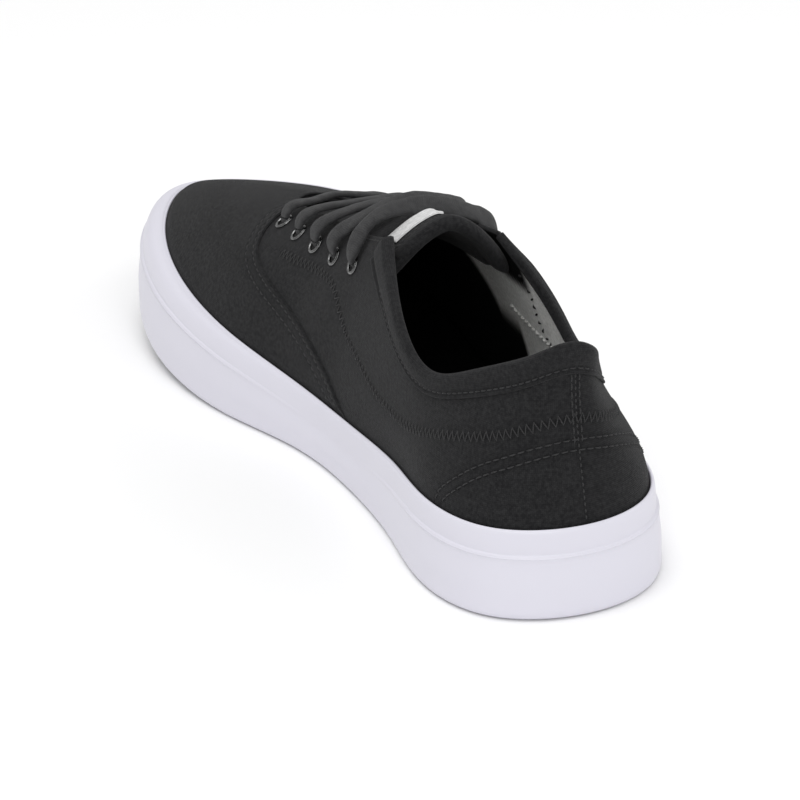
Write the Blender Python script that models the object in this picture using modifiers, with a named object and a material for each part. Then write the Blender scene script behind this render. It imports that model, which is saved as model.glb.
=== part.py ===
"""A low canvas skate shoe on a rubber cup sole, for the right foot, standing empty and unbent.

The shoe is drawn in its own frame first: the heel's back at y = 0, the toe towards +Y, the outer
(lateral) side towards +X and the floor at z = 0. ORIGIN then moves it so that the middle of its
footprint lies at x = y = 0. A place around the shoe is a turn from 0 to 1: 0 is the back of the
heel, the medial side comes first, 0.5 is the toe and the lateral side leads back to the heel.
"""

import bpy
import bmesh
import numpy as np
from mathutils import Matrix, Vector

# Driving sizes, in metres
LENGTH = 0.300
BALL_WIDTH = 0.106
TOE_SPRING = 0.015
SPRING_START = 0.60
SPRING_POWER = 1.8
COLLAR_HEIGHT = 0.0875
COLLAR_WIDTH = 0.061
INSTEP_HEIGHT = 0.0872
THROAT_WIDTH = 0.040
CLEARANCE = 0.0003

# Sole
FOXING_HEIGHT = 0.032
FOXING_WALL = 0.0034
FOXING_HEM = 0.0012
FOXING_HEM_HEIGHT = 0.0030
FOXING_HEM_BULGE = 0.0002
FOXING_BELLY = 0.40
LIP_WIDTH = 0.0009
LIP_ROUND = 0.0005
LIP_SLOPE_DROP = 0.0030
LIP_SLOPE_SHARE = 0.42
FOXING_FLOOR_GAP = 0.0006
TOE_INSET = 0.0115
LEDGE_DROP = 0.0085
LEDGE_STEP = 0.0009
LEDGE_RUN = 0.0008
LEDGE_LEAN = 0.06
LEDGE_SET_IN = 0.0006
SLAB_HEEL = 0.0135
SLAB_FORE = 0.0080
SLAB_EASE_START = 0.25
SLAB_EASE_END = 0.60
GROOVE_ZONES = ((0.055, 0.245), (0.53, 0.94))
GROOVE_DEPTH = 0.0022
GROOVE_WIDTH = 0.0040
GROOVE_PITCH = 0.0125
INSOLE_THICKNESS = 0.0045

# Upper
WALL = 0.0020
LASTING_GAP = 0.0005
FOOT_GAP = 0.0013
INSOLE_GAP = 0.0017
VAMP_STEP = 0.0009
BINDING_STEP = 0.0006
BINDING_WIDTH = 0.0096

# Tongue, label, eyelets and laces
TONGUE_THICKNESS = 0.0032
TONGUE_CROWN = 0.0050
TONGUE_LAP = 0.0135
TONGUE_REACH = 0.0140
TONGUE_GAP = 0.0008
TONGUE_TOP_POWER_SHARE = 0.21
LABEL_THICKNESS = 0.0006
LABEL_LENGTH = 0.0085
LABEL_MARGIN = 0.0035
LABEL_REACH = 0.62
EYELET_OUTER = 0.0080
EYELET_INNER = 0.0050
EYELET_WALL = 0.0004
EYELET_RIM = 0.0009
EYELET_ROUND = 0.0003
EYELET_SEAT = 0.0004
HOLE_CLEARANCE = 0.00045
EYELET_MARGIN = 0.0138
EYELET_FIRST_SHARE = 0.640
EYELET_LAST_SHARE = 0.427
EYELET_COUNT = 5
LACE_WIDTH = 0.0060
LACE_THICKNESS = 0.0030
LACE_LIFT = 0.0007
LACE_END_LIFT = 0.0007

# Each side of the shoe has stations 0 (back of the heel) to 10 (tip of the toe).
# along: share of LENGTH. medial, lateral: share of BALL_WIDTH. rim_m, rim_l: share of FOXING_HEIGHT.
# inset_m, inset_l: how far the rim stands in from the widest line, share of TOE_INSET.
# ledge: how much of the side step shows there.
OUTLINE_COLUMNS = ("along", "medial", "lateral", "rim_m", "rim_l", "inset_m", "inset_l", "ledge")
OUTLINE_ROWS = (
    (0.00, 0.000, 0.000, 0.94, 0.94, 0.30, 0.30, 1.0),
    (0.04, -0.278, 0.268, 0.94, 0.94, 0.30, 0.30, 1.0),
    (0.14, -0.370, 0.372, 0.92, 0.92, 0.29, 0.29, 0.9),
    (0.25, -0.334, 0.372, 0.84, 0.84, 0.26, 0.27, 0.3),
    (0.37, -0.313, 0.378, 0.73, 0.75, 0.22, 0.27, 0.0),
    (0.49, -0.342, 0.405, 0.73, 0.75, 0.27, 0.34, 0.1),
    (0.60, -0.437, 0.442, 0.87, 0.84, 0.46, 0.48, 0.6),
    (0.71, -0.497, 0.468, 0.97, 0.91, 0.68, 0.68, 1.0),
    (0.82, -0.482, 0.452, 1.01, 0.90, 0.83, 0.83, 1.0),
    (0.93, -0.363, 0.330, 0.93, 0.79, 0.95, 0.95, 1.0),
    (1.00, -0.085, -0.085, 0.75, 0.75, 1.00, 1.00, 1.0),
)

# The way that the upper leaves the rim and reaches the opening, in degrees above the level inward
# direction: 90 is upright, and more leans outward.
LEAN_COLUMNS = ("start_m", "start_l", "end_m", "end_l")
LEAN_ROWS = (
    (80, 80, 102, 102),
    (84, 84, 97, 96),
    (90, 87, 90, 88),
    (95, 93, 84, 82),
    (93, 92, 72, 76),
    (84, 84, 48, 50),
    (70, 72, 34, 34),
    (55, 55, 22, 22),
    (41, 38, 13, 15),
    (29, 21, 10, 18),
    (21, 21, 11, 11),
)

# The collar's edge, with the heel's back first. station: as above, across: share of COLLAR_WIDTH, along: share of
# LENGTH, height: share of COLLAR_HEIGHT.
COLLAR_COLUMNS = ("station", "across_m", "along_m", "height_m", "across_l", "along_l", "height_l")
COLLAR_ROWS = (
    (0.0, -0.020, 0.0245, 1.006, -0.020, 0.0245, 1.006),
    (0.45, -0.128, 0.0295, 0.998, 0.082, 0.0320, 0.975),
    (1.0, -0.225, 0.0530, 0.943, 0.176, 0.0640, 0.907),
    (2.0, -0.390, 0.1230, 0.827, 0.337, 0.1340, 0.781),
    (3.0, -0.480, 0.2000, 0.770, 0.473, 0.2120, 0.690),
    (4.0, -0.418, 0.3000, 0.900, 0.488, 0.3070, 0.755),
)

# The throat's edge from the top of the eyestay to the front. across: share of THROAT_WIDTH, along:
# share of LENGTH, height: share of INSTEP_HEIGHT.
THROAT_COLUMNS = ("across_m", "along_m", "height_m", "across_l", "along_l", "height_l")
THROAT_ROWS = (
    (-0.438, 0.370, 1.000, 0.560, 0.373, 0.935),
    (-0.400, 0.430, 0.930, 0.490, 0.433, 0.912),
    (-0.345, 0.520, 0.855, 0.400, 0.523, 0.848),
    (-0.275, 0.603, 0.784, 0.310, 0.607, 0.764),
    (-0.225, 0.663, 0.730, 0.200, 0.667, 0.702),
    (-0.178, 0.696, 0.703, 0.130, 0.696, 0.690),
    (-0.030, 0.708, 0.697, -0.030, 0.708, 0.697),
)
STATIONS = 10
CORNER_STATION = 4.5

# The seam where the vamp laps over the quarter: share of the way up the wall, and its station.
SEAM_COLUMNS = ("up", "station_m", "station_l")
SEAM_ROWS = (
    (0.00, 4.20, 4.20),
    (0.20, 4.78, 4.78),
    (0.35, 5.50, 5.50),
    (0.45, 6.38, 6.38),
    (0.56, 6.88, 6.88),
    (0.72, 7.30, 7.30),
    (1.00, 8.10, 8.10),
)
CORNER_COLUMN_FOOT = 3.2
FOOT_SHARE = 0.04
FIELD_TOP = 0.84
SEAM_SPEED = 0.60
STEP_RUN = 0.0006
LEVEL_BLEND = 0.030
BINDING_FADE_SHARE = 0.3

# The tongue from its front, under the vamp, to its top: the station of the throat that it passes,
# how far its crown stands above the eyestays' edges, as a share of TONGUE_CROWN, how far it reaches
# under them, as a share of TONGUE_LAP, and the power of its arch: higher is flatter on top.
TONGUE_COLUMNS = ("station", "crown", "lap", "curve")
TONGUE_ROWS = (
    (9.2, -0.70, 0.90, 1.40),
    (8.3, -0.56, 0.95, 1.40),
    (7.6, -0.40, 1.00, 1.35),
    (7.0, -0.08, 1.00, 1.35),
    (6.4, 0.28, 1.00, 1.35),
    (5.8, 0.68, 1.00, 1.36),
    (5.2, 0.98, 1.00, 1.38),
    (4.7, 1.05, 1.05, 1.42),
)

# Mesh fineness
OUTLINE_STEPS = 96
COLLAR_STEPS = 13
QUARTER_STEPS = 8
VAMP_STEPS = 16
WALL_STEPS = 10
TONGUE_STEPS_ALONG = 14
TONGUE_STEPS_ACROSS = 10
EYELET_SEGMENTS = 10
LACE_SIDES = 8
LACE_STEPS = 14

UP = np.array([0.0, 0.0, 1.0])
FINE_STEP = 1e-3


def spline(knots, values, at):
    """Natural cubic curve through values at the knots, read at the places in the array at."""
    knots = np.asarray(knots, float)
    values = np.asarray(values, float)
    at = np.asarray(at, float)
    count = len(knots)
    gaps = np.diff(knots)
    slopes = (values[1:] - values[:-1]) / (gaps if values.ndim == 1 else gaps[:, None])
    system = np.eye(count)
    right = np.zeros(values.shape)
    inner = np.arange(1, count - 1)
    system[inner, inner - 1] = gaps[:-1]
    system[inner, inner] = 2 * (gaps[:-1] + gaps[1:])
    system[inner, inner + 1] = gaps[1:]
    right[inner] = 6 * (slopes[1:] - slopes[:-1])
    bend = np.linalg.solve(system, right)
    i = np.clip(np.searchsorted(knots, at, side="right") - 1, 0, count - 2)
    width = gaps[i]
    before = (knots[i + 1] - at) / width
    after = (at - knots[i]) / width
    if values.ndim > 1:
        width, before, after = width[..., None], before[..., None], after[..., None]
    curve = before * values[i] + after * values[i + 1]
    curve += ((before**3 - before) * bend[i] + (after**3 - after) * bend[i + 1]) * width**2 / 6
    return curve


def column(columns, rows, name):
    """One named column of a table as an array."""
    return np.array([row[columns.index(name)] for row in rows], float)


def around(medial, lateral, turn):
    """Closed curve through one value per station on each side, read at the turns."""
    ring = np.concatenate([medial, lateral[-2:0:-1]])
    wrap = 5
    knots = np.arange(-wrap, len(ring) + wrap + 1)
    values = ring[knots % len(ring)]
    return spline(knots, values, np.mod(turn, 1.0) * len(ring))


def outline_column(name, turn):
    """A column of the outline table that is the same, or has an _m and an _l form, for both sides."""
    names = (name, name) if name in OUTLINE_COLUMNS else (name + "_m", name + "_l")
    sides = [column(OUTLINE_COLUMNS, OUTLINE_ROWS, each) for each in names]
    return around(sides[0], sides[1], turn)


def footprint(turn):
    """The widest line of the sole seen from above, x and y."""
    along = column(OUTLINE_COLUMNS, OUTLINE_ROWS, "along") * LENGTH
    medial = column(OUTLINE_COLUMNS, OUTLINE_ROWS, "medial") * BALL_WIDTH
    lateral = column(OUTLINE_COLUMNS, OUTLINE_ROWS, "lateral") * BALL_WIDTH
    return np.stack([around(medial, lateral, turn), around(along, along, turn)], axis=-1)


def inward(turn):
    """Level unit vector that points into the shoe, square to the footprint."""
    run = footprint(turn + FINE_STEP / 10) - footprint(turn - FINE_STEP / 10)
    run /= np.linalg.norm(run, axis=-1, keepdims=True)
    return np.stack([run[..., 1], -run[..., 0], np.zeros(run.shape[:-1])], axis=-1)


def spring(along):
    """How far the sole's underside has left the floor at a distance from the heel."""
    share = np.clip((along / LENGTH - SPRING_START) / (1 - SPRING_START), 0, None)
    return TOE_SPRING * share**SPRING_POWER


def slab_height(along):
    """Thickness of the outsole slab: thick under the heel, thin under the ball, eased between."""
    share = (along / LENGTH - SLAB_EASE_START) / (SLAB_EASE_END - SLAB_EASE_START)
    share = np.clip(share, 0, 1)
    ease = share * share * (3 - 2 * share)
    return SLAB_HEEL + (SLAB_FORE - SLAB_HEEL) * ease


def rim_height(turn):
    """Height of the sole's rim above its underside."""
    return outline_column("rim", turn) * FOXING_HEIGHT


def rim_inset(turn):
    """Distance of the rim's inner edge from the widest line."""
    return outline_column("inset", turn) * TOE_INSET


def side_point(turn, inset, height):
    """A point in the section at a turn: inset from the widest line and height above the underside."""
    flat = footprint(turn)
    base = np.concatenate([flat, spring(flat[..., 1:2])], axis=-1)
    return base + inward(turn) * np.asarray(inset)[..., None] + UP * np.asarray(height)[..., None]


def lasting_inset(turn, height):
    """Inset of the sole's inner face: upright beside the slab, then leaning in to the rim."""
    slab = slab_height(footprint(turn)[..., 1])
    share = np.clip((height - slab) / (rim_height(turn) - slab), 0, 1)
    return FOXING_WALL + (rim_inset(turn) - FOXING_WALL) * share


def opening(turn):
    """The edge of the collar and the throat, with a corner at the top of each eyestay."""
    place = np.mod(turn, 1.0) * 2 * STATIONS
    collar_scale = np.array([COLLAR_WIDTH, LENGTH, COLLAR_HEIGHT])
    throat_scale = np.array([THROAT_WIDTH, LENGTH, INSTEP_HEIGHT])
    collar = np.array(COLLAR_ROWS)
    throat = np.array(THROAT_ROWS)
    collar_m, collar_l = collar[:, 1:4] * collar_scale, collar[:, 4:] * collar_scale
    throat_m, throat_l = throat[:, :3] * throat_scale, throat[:, 3:] * throat_scale
    back_knots = collar[:, 0]
    back_knots = np.concatenate([[-CORNER_STATION], -back_knots[:0:-1], back_knots, [CORNER_STATION]])
    back = np.concatenate([throat_l[:1], collar_l[:0:-1], collar_m, throat_m[:1]])
    front_knots = np.concatenate([[CORNER_STATION], np.arange(5, STATIONS + 1)])
    front_knots = np.concatenate([front_knots, 2 * STATIONS - front_knots[-2::-1]])
    front = np.concatenate([throat_m, throat_l[-2::-1]])
    signed = np.where(place > STATIONS, place - 2 * STATIONS, place)
    at_back = spline(back_knots, back, np.clip(signed, -CORNER_STATION, CORNER_STATION))
    far_corner = 2 * STATIONS - CORNER_STATION
    at_front = spline(front_knots, front, np.clip(place, CORNER_STATION, far_corner))
    return np.where((np.abs(signed) <= CORNER_STATION)[..., None], at_back, at_front)


def wall(turn, up):
    """The upper's outer face: a smooth arc from the rim (up = 0) to the opening (up = 1)."""
    turn, up = np.broadcast_arrays(np.asarray(turn, float), np.asarray(up, float))
    foot = side_point(turn, rim_inset(turn) + LASTING_GAP, rim_height(turn))
    top = opening(turn)
    reach = top - foot
    flat = reach * np.array([1.0, 1.0, 0.0])
    run = np.linalg.norm(flat, axis=-1, keepdims=True)
    weight = np.clip(run / LEVEL_BLEND, 0, 1)
    level = inward(turn) * (1 - weight) + flat / run * weight
    level /= np.linalg.norm(level, axis=-1, keepdims=True)
    span = np.linalg.norm(reach, axis=-1, keepdims=True)
    tangents = []
    for name in ("start", "end"):
        sides = [column(LEAN_COLUMNS, LEAN_ROWS, name + side) for side in ("_m", "_l")]
        angle = np.radians(around(sides[0], sides[1], turn))[..., None]
        tangents.append((level * np.cos(angle) + UP * np.sin(angle)) * span)
    u = up[..., None]
    curve = foot * (2 * u**3 - 3 * u**2 + 1) + top * (3 * u**2 - 2 * u**3)
    return curve + tangents[0] * (u**3 - 2 * u**2 + u) + tangents[1] * (u**3 - u**2)


def wall_normal(turn, up):
    """Unit vector that points out of the upper's outer face."""
    along = wall(turn + FINE_STEP, up) - wall(turn - FINE_STEP, up)
    climb = wall(turn, np.minimum(up + FINE_STEP, 1)) - wall(turn, np.maximum(up - FINE_STEP, 0))
    normal = np.cross(climb, along)
    return normal / np.linalg.norm(normal, axis=-1, keepdims=True)


def wall_length(turn):
    """Length of the wall's arc from the rim to the opening."""
    ups = np.linspace(0, 1, 17)
    points = wall(np.asarray(turn)[..., None], ups)
    return np.linalg.norm(np.diff(points, axis=-2), axis=-1).sum(axis=-1)


def footprint_middle():
    """Middle of the footprint's box, which becomes the object's origin."""
    points = footprint(np.linspace(0, 1, 4001))
    return (points.min(axis=0) + points.max(axis=0)) / 2


ORIGIN = np.append(footprint_middle(), 0.0)


def make_material(name, colour, roughness, metallic=0.0):
    """A plain Principled material."""
    material = bpy.data.materials.new(name)
    material.use_nodes = True
    shader = material.node_tree.nodes["Principled BSDF"]
    shader.inputs["Base Color"].default_value = (*colour, 1.0)
    shader.inputs["Roughness"].default_value = roughness
    shader.inputs["Metallic"].default_value = metallic
    return material


def make_object(name, points, faces, collection, material=None, closed=False):
    """An object from points in the shoe's own frame and lists of corners, moved to ORIGIN."""
    mesh = bpy.data.meshes.new(name)
    mesh.from_pydata((np.asarray(points).reshape(-1, 3) - ORIGIN).tolist(), [], faces)
    if closed:
        shape = bmesh.new()
        shape.from_mesh(mesh)
        bmesh.ops.recalc_face_normals(shape, faces=shape.faces)
        shape.to_mesh(mesh)
        shape.free()
    mesh.shade_smooth()
    obj = bpy.data.objects.new(name, mesh)
    collection.objects.link(obj)
    if material:
        mesh.materials.append(material)
    return obj


def grid_faces(rows, columns, closed=False):
    """Corners of the quads of a grid whose points are counted row by row."""
    faces = []
    for row in range(rows - 1):
        for place in range(columns if closed else columns - 1):
            after = (place + 1) % columns
            low, high = row * columns, (row + 1) * columns
            faces.append((low + place, high + place, high + after, low + after))
    return faces


def ring_faces(count, sides):
    """Corners of the quads of a closed ring: count sections of the given number of sides."""
    faces = []
    for section in range(count):
        here, there = section * sides, (section + 1) % count * sides
        for side in range(sides):
            after = (side + 1) % sides
            faces.append((here + side, here + after, there + after, there + side))
    return faces


def ladder_faces(count):
    """Corners that fill a closed outline of an even number of points with rungs across it."""
    faces = [(0, 1, count - 1)]
    for rung in range(1, count // 2 - 1):
        faces.append((rung, rung + 1, count - rung - 1, count - rung))
    faces.append((count // 2 - 1, count // 2, count // 2 + 1))
    return faces


def make_slab(name, bottom, top, collection, material):
    """A closed slab between two outlines of the same number of points."""
    count = len(bottom)
    faces = ladder_faces(count)
    faces += [tuple(count + corner for corner in reversed(face)) for face in ladder_faces(count)]
    for here in range(count):
        there = (here + 1) % count
        faces.append((here, count + here, count + there, there))
    return make_object(name, np.concatenate([bottom, top]), faces, collection, material)


def sole_turns():
    """The turns at which the sole's pieces have their points."""
    return np.arange(OUTLINE_STEPS) / OUTLINE_STEPS


def make_foxing(collection, material):
    """The rubber wall around the sole, with a low step along its side at the heel and the toe."""
    turn = sole_turns()
    rim = rim_height(turn)
    inset = rim_inset(turn)
    ledge = np.clip(outline_column("ledge", turn), 0, 1)
    slab = slab_height(footprint(turn)[:, 1])
    low = np.full(len(turn), FOXING_FLOOR_GAP)
    level = np.ones(len(turn))
    step_height = rim - LEDGE_DROP
    step_low = LEDGE_SET_IN + LEDGE_LEAN * inset
    step_high = step_low + LEDGE_STEP * ledge
    section = [
        (FOXING_HEM * level, low),
        (FOXING_HEM_BULGE * level, low + FOXING_HEM_HEIGHT),
        (0.0 * level, FOXING_BELLY * rim),
        (step_low, step_height - LEDGE_RUN / 2),
        (step_high, step_height + LEDGE_RUN / 2),
        (step_high + LIP_SLOPE_SHARE * (inset - step_high), rim - LIP_SLOPE_DROP),
        (inset - LIP_WIDTH, rim),
        (inset, rim - LIP_ROUND),
        (FOXING_WALL * level, slab),
        (FOXING_WALL * level, low),
    ]
    points = np.stack([side_point(turn, shift, height) for shift, height in section], axis=1)
    return make_object("foxing", points, ring_faces(len(turn), len(section)), collection, material)


def box_at(centre, size, tilt):
    """Corners and faces of a box with the given size, tilted about X."""
    shape = bmesh.new()
    bmesh.ops.create_cube(shape, size=1.0)
    place = Matrix.Translation(Vector(centre)) @ Matrix.Rotation(tilt, 4, "X")
    bmesh.ops.transform(shape, matrix=place @ Matrix.Diagonal((*size, 1.0)), verts=shape.verts)
    points = [tuple(vertex.co) for vertex in shape.verts]
    faces = [tuple(vertex.index for vertex in face.verts) for face in shape.faces]
    shape.free()
    return points, faces


def make_outsole(collection, cutters, material):
    """The outsole slab inside the foxing, with straight grooves across the heel and forefoot."""
    turn = sole_turns()
    slab = slab_height(footprint(turn)[:, 1])
    inset = np.full(len(turn), FOXING_WALL + CLEARANCE)
    bottom = side_point(turn, inset, np.zeros(len(turn)))
    top = side_point(turn, inset, slab)
    outsole = make_slab("outsole", bottom, top, collection, material)
    points = []
    faces = []
    for first, last in GROOVE_ZONES:
        count = int((last - first) * LENGTH / GROOVE_PITCH)
        for place in range(count + 1):
            along = first * LENGTH + place * GROOVE_PITCH
            slope = (spring(along + FINE_STEP) - spring(along - FINE_STEP)) / (2 * FINE_STEP)
            centre = (0.0, along, spring(along))
            size = (2 * BALL_WIDTH, GROOVE_WIDTH, 2 * GROOVE_DEPTH)
            box_points, box_faces = box_at(centre, size, np.arctan(slope))
            faces += [tuple(len(points) + corner for corner in face) for face in box_faces]
            points += box_points
    grooves = make_object("tread_grooves", points, faces, cutters)
    cut(outsole, grooves)
    return outsole


def cut(target, cutter):
    """Take the cutter's shape out of the target."""
    cutter.hide_render = True
    cutter.display_type = "WIRE"
    modifier = target.modifiers.new("cut " + cutter.name, "BOOLEAN")
    modifier.operation = "DIFFERENCE"
    modifier.solver = "EXACT"
    modifier.object = cutter


def make_insole(collection, material):
    """The insole inside the upper's wall, on top of the outsole."""
    turn = sole_turns()
    slab = slab_height(footprint(turn)[:, 1])
    low = slab + CLEARANCE
    high = low + INSOLE_THICKNESS
    outlines = []
    for height in (low, high):
        inset = lasting_inset(turn, height) + LASTING_GAP + WALL + INSOLE_GAP
        outlines.append(side_point(turn, inset, height))
    return make_slab("insole", outlines[0], outlines[1], collection, material)


def seam_turns(up):
    """The turns of the two vamp seams at a share of the way up the wall."""
    knots = column(SEAM_COLUMNS, SEAM_ROWS, "up")
    medial = spline(knots, column(SEAM_COLUMNS, SEAM_ROWS, "station_m"), up)
    lateral = spline(knots, column(SEAM_COLUMNS, SEAM_ROWS, "station_l"), up)
    return medial / (2 * STATIONS), 1 - lateral / (2 * STATIONS)


def upper_columns(up):
    """Turns of the upper's mesh columns at a height, lined up with the eyestay corners and seams."""
    corner = (CORNER_COLUMN_FOOT + (CORNER_STATION - CORNER_COLUMN_FOOT) * up) / (2 * STATIONS)
    seam_m, seam_l = seam_turns(up)
    edge = STEP_RUN / SEAM_SPEED
    keys = [0.0, corner, seam_m, seam_m + edge, 0.5, seam_l - edge, seam_l, 1 - corner, 1.0]
    steps = [COLLAR_STEPS, QUARTER_STEPS, 1, VAMP_STEPS, VAMP_STEPS, 1, QUARTER_STEPS, COLLAR_STEPS]
    turns = [np.linspace(start, end, count, endpoint=False)
             for start, end, count in zip(keys, keys[1:], steps)]
    raised = [np.zeros(count) for count in steps]
    for block in (3, 4, 5):
        raised[block][:] = 1
    return np.concatenate(turns), np.concatenate(raised)


def upper_rows():
    """Each mesh row of the upper above the rim: its share up the wall's field, and its band."""
    field = np.concatenate([[0.0, FOOT_SHARE], np.linspace(0, 1, WALL_STEPS + 1)[1:]])
    return [(share, "field") for share in field] + [(1.0, "binding"), (1.0, "edge")]


def make_upper(collection, material):
    """The whole canvas upper as one wall: quarters and vamp, with the vamp lapping over.

    The field is the wall below the collar's binding. The foot of the wall goes down inside the
    foxing to the outsole.
    """
    turn, _raised = upper_columns(0.0)
    foot = slab_height(footprint(turn)[:, 1]) + FOOT_GAP
    rows = [side_point(turn, lasting_inset(turn, foot) + LASTING_GAP, foot)]
    for share, band in upper_rows():
        level = {"field": share * FIELD_TOP, "binding": FIELD_TOP, "edge": 1.0}[band]
        turn, raised = upper_columns(level)
        seam_of_binding = 1 - BINDING_WIDTH / wall_length(turn)
        field_top = seam_of_binding - STEP_RUN / wall_length(turn)
        up = {"field": share * field_top, "binding": seam_of_binding, "edge": np.ones(len(turn))}[band]
        station = 2 * STATIONS * np.minimum(turn, 1 - turn)
        proud = VAMP_STEP * raised * min(share / FOOT_SHARE, 1)
        if band != "field":
            proud = proud + BINDING_STEP * np.clip((CORNER_STATION - station) / BINDING_FADE_SHARE, 0, 1)
        rows.append(wall(turn, up) + wall_normal(turn, up) * proud[:, None])
    faces = grid_faces(len(rows), len(turn), closed=True)
    upper = make_object("upper", np.concatenate(rows), faces, collection, material)
    shell = upper.modifiers.new("wall", "SOLIDIFY")
    shell.thickness = WALL
    shell.offset = -1
    return upper


def eyestay_point(station, side, drop):
    """A place on the wall at a distance below the throat's edge: its turn and its share up."""
    turn = np.asarray(station) / (2 * STATIONS)
    if side == "lateral":
        turn = 1 - turn
    return turn, 1 - drop / wall_length(turn)


def tongue_rows():
    """Edges, crowns and outward directions of the tongue's sections, from front to top."""
    station = column(TONGUE_COLUMNS, TONGUE_ROWS, "station")
    rise = column(TONGUE_COLUMNS, TONGUE_ROWS, "crown") * TONGUE_CROWN
    lap = column(TONGUE_COLUMNS, TONGUE_ROWS, "lap") * TONGUE_LAP
    edges = []
    for side in ("medial", "lateral"):
        turn, up = eyestay_point(station, side, lap)
        edges.append(wall(turn, up) - wall_normal(turn, up) * (WALL + TONGUE_GAP))
    throat = (opening(station / (2 * STATIONS)) + opening(1 - station / (2 * STATIONS))) / 2
    crown = throat + UP * rise[:, None]
    sections = np.stack([edges[0], crown, edges[1]], axis=1)
    last = sections[-1] - sections[-2]
    last = last / np.linalg.norm(last, axis=-1, keepdims=True)
    return np.concatenate([sections, [sections[-1] + last * TONGUE_REACH * share
                                      for share in (0.5, 1.0)]])


def tongue(along, across):
    """The tongue's outer face: along from 0 (front) to 1 (top), across from -1 to 1 (lateral)."""
    along, across = np.broadcast_arrays(np.asarray(along, float), np.asarray(across, float))
    sections = tongue_rows()
    places = along * (len(sections) - 1)
    power = column(TONGUE_COLUMNS, TONGUE_ROWS, "curve")
    power = np.concatenate([power, power[-1] * (1 + np.array([0.5, 1.0]) * TONGUE_TOP_POWER_SHARE)])
    arch = spline(np.arange(len(sections)), power, places)[..., None]
    medial, crown, lateral = (spline(np.arange(len(sections)), sections[:, i], places)
                              for i in range(3))
    share = across[..., None]
    chord = (medial * (1 - share) + lateral * (1 + share)) / 2
    middle = (medial + lateral) / 2
    return chord + (crown - middle) * (1 - np.abs(share) ** arch)


def tongue_normal(along, across):
    """Unit vector that points out of the tongue's outer face."""
    climb = tongue(along + FINE_STEP, across) - tongue(along - FINE_STEP, across)
    over = tongue(along, across + FINE_STEP) - tongue(along, across - FINE_STEP)
    normal = np.cross(climb, over)
    return normal / np.linalg.norm(normal, axis=-1, keepdims=True)


def tongue_place(along_shoe):
    """How far along the tongue its crown reaches a distance from the heel."""
    places = np.linspace(0, 1, 201)
    crown = tongue(places, 0.0)[:, 1]
    return np.interp(along_shoe, crown[::-1], places[::-1])


def make_sheet(name, points, thickness, collection, material):
    """A sheet from a grid of points on its outer face, with its thickness below them."""
    rows, columns = points.shape[:2]
    sheet = make_object(name, points, grid_faces(rows, columns), collection, material)
    shell = sheet.modifiers.new("thickness", "SOLIDIFY")
    shell.thickness = thickness
    shell.offset = -1
    return sheet


def make_tongue(collection, material):
    """The padded tongue, arched under the eyestays and standing past their tops."""
    along = np.linspace(0, 1, TONGUE_STEPS_ALONG + 1)[:, None]
    across = np.linspace(-1, 1, TONGUE_STEPS_ACROSS + 1)[None, :]
    make_sheet("tongue", tongue(along, across), TONGUE_THICKNESS, collection, material)


def make_label(collection, material):
    """The blank woven label across the tongue, between its top and the last lace."""
    top = tongue(1.0, 0.0)[1] + LABEL_MARGIN
    ends = tongue_place(np.array([top + LABEL_LENGTH, top]))
    along = np.linspace(ends[0], ends[1], 4)[:, None]
    across = np.linspace(-LABEL_REACH, LABEL_REACH, 11)[None, :]
    lift = CLEARANCE + LABEL_THICKNESS
    points = tongue(along, across) + tongue_normal(along, across) * lift
    make_sheet("tongue_label", points, LABEL_THICKNESS, collection, material)


def eyelet_frames():
    """Centre and outward direction of each eyelet, medial ones first, from front to back."""
    frames = []
    along = np.linspace(EYELET_FIRST_SHARE, EYELET_LAST_SHARE, EYELET_COUNT) * LENGTH
    stations = np.linspace(CORNER_STATION, 8.5, 161)
    for side in ("medial", "lateral"):
        turn, up = eyestay_point(stations, side, EYELET_MARGIN)
        track = wall(turn, up)[:, 1]
        turn, up = eyestay_point(np.interp(along, track, stations), side, EYELET_MARGIN)
        frames += list(zip([side] * EYELET_COUNT, wall(turn, up), wall_normal(turn, up)))
    return frames


def turned_ring(profile, centre, axis, segments):
    """Points of a closed profile of (radius, height) pairs carried round an axis."""
    side = np.cross(axis, [0.0, 1.0, 0.0])
    side /= np.linalg.norm(side)
    other = np.cross(axis, side)
    angle = 2 * np.pi * np.arange(segments)[:, None] / segments
    radius, height = np.array(profile).T
    return (centre + (np.cos(angle) * radius)[..., None] * side
            + (np.sin(angle) * radius)[..., None] * other + height[:, None] * axis)


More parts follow.
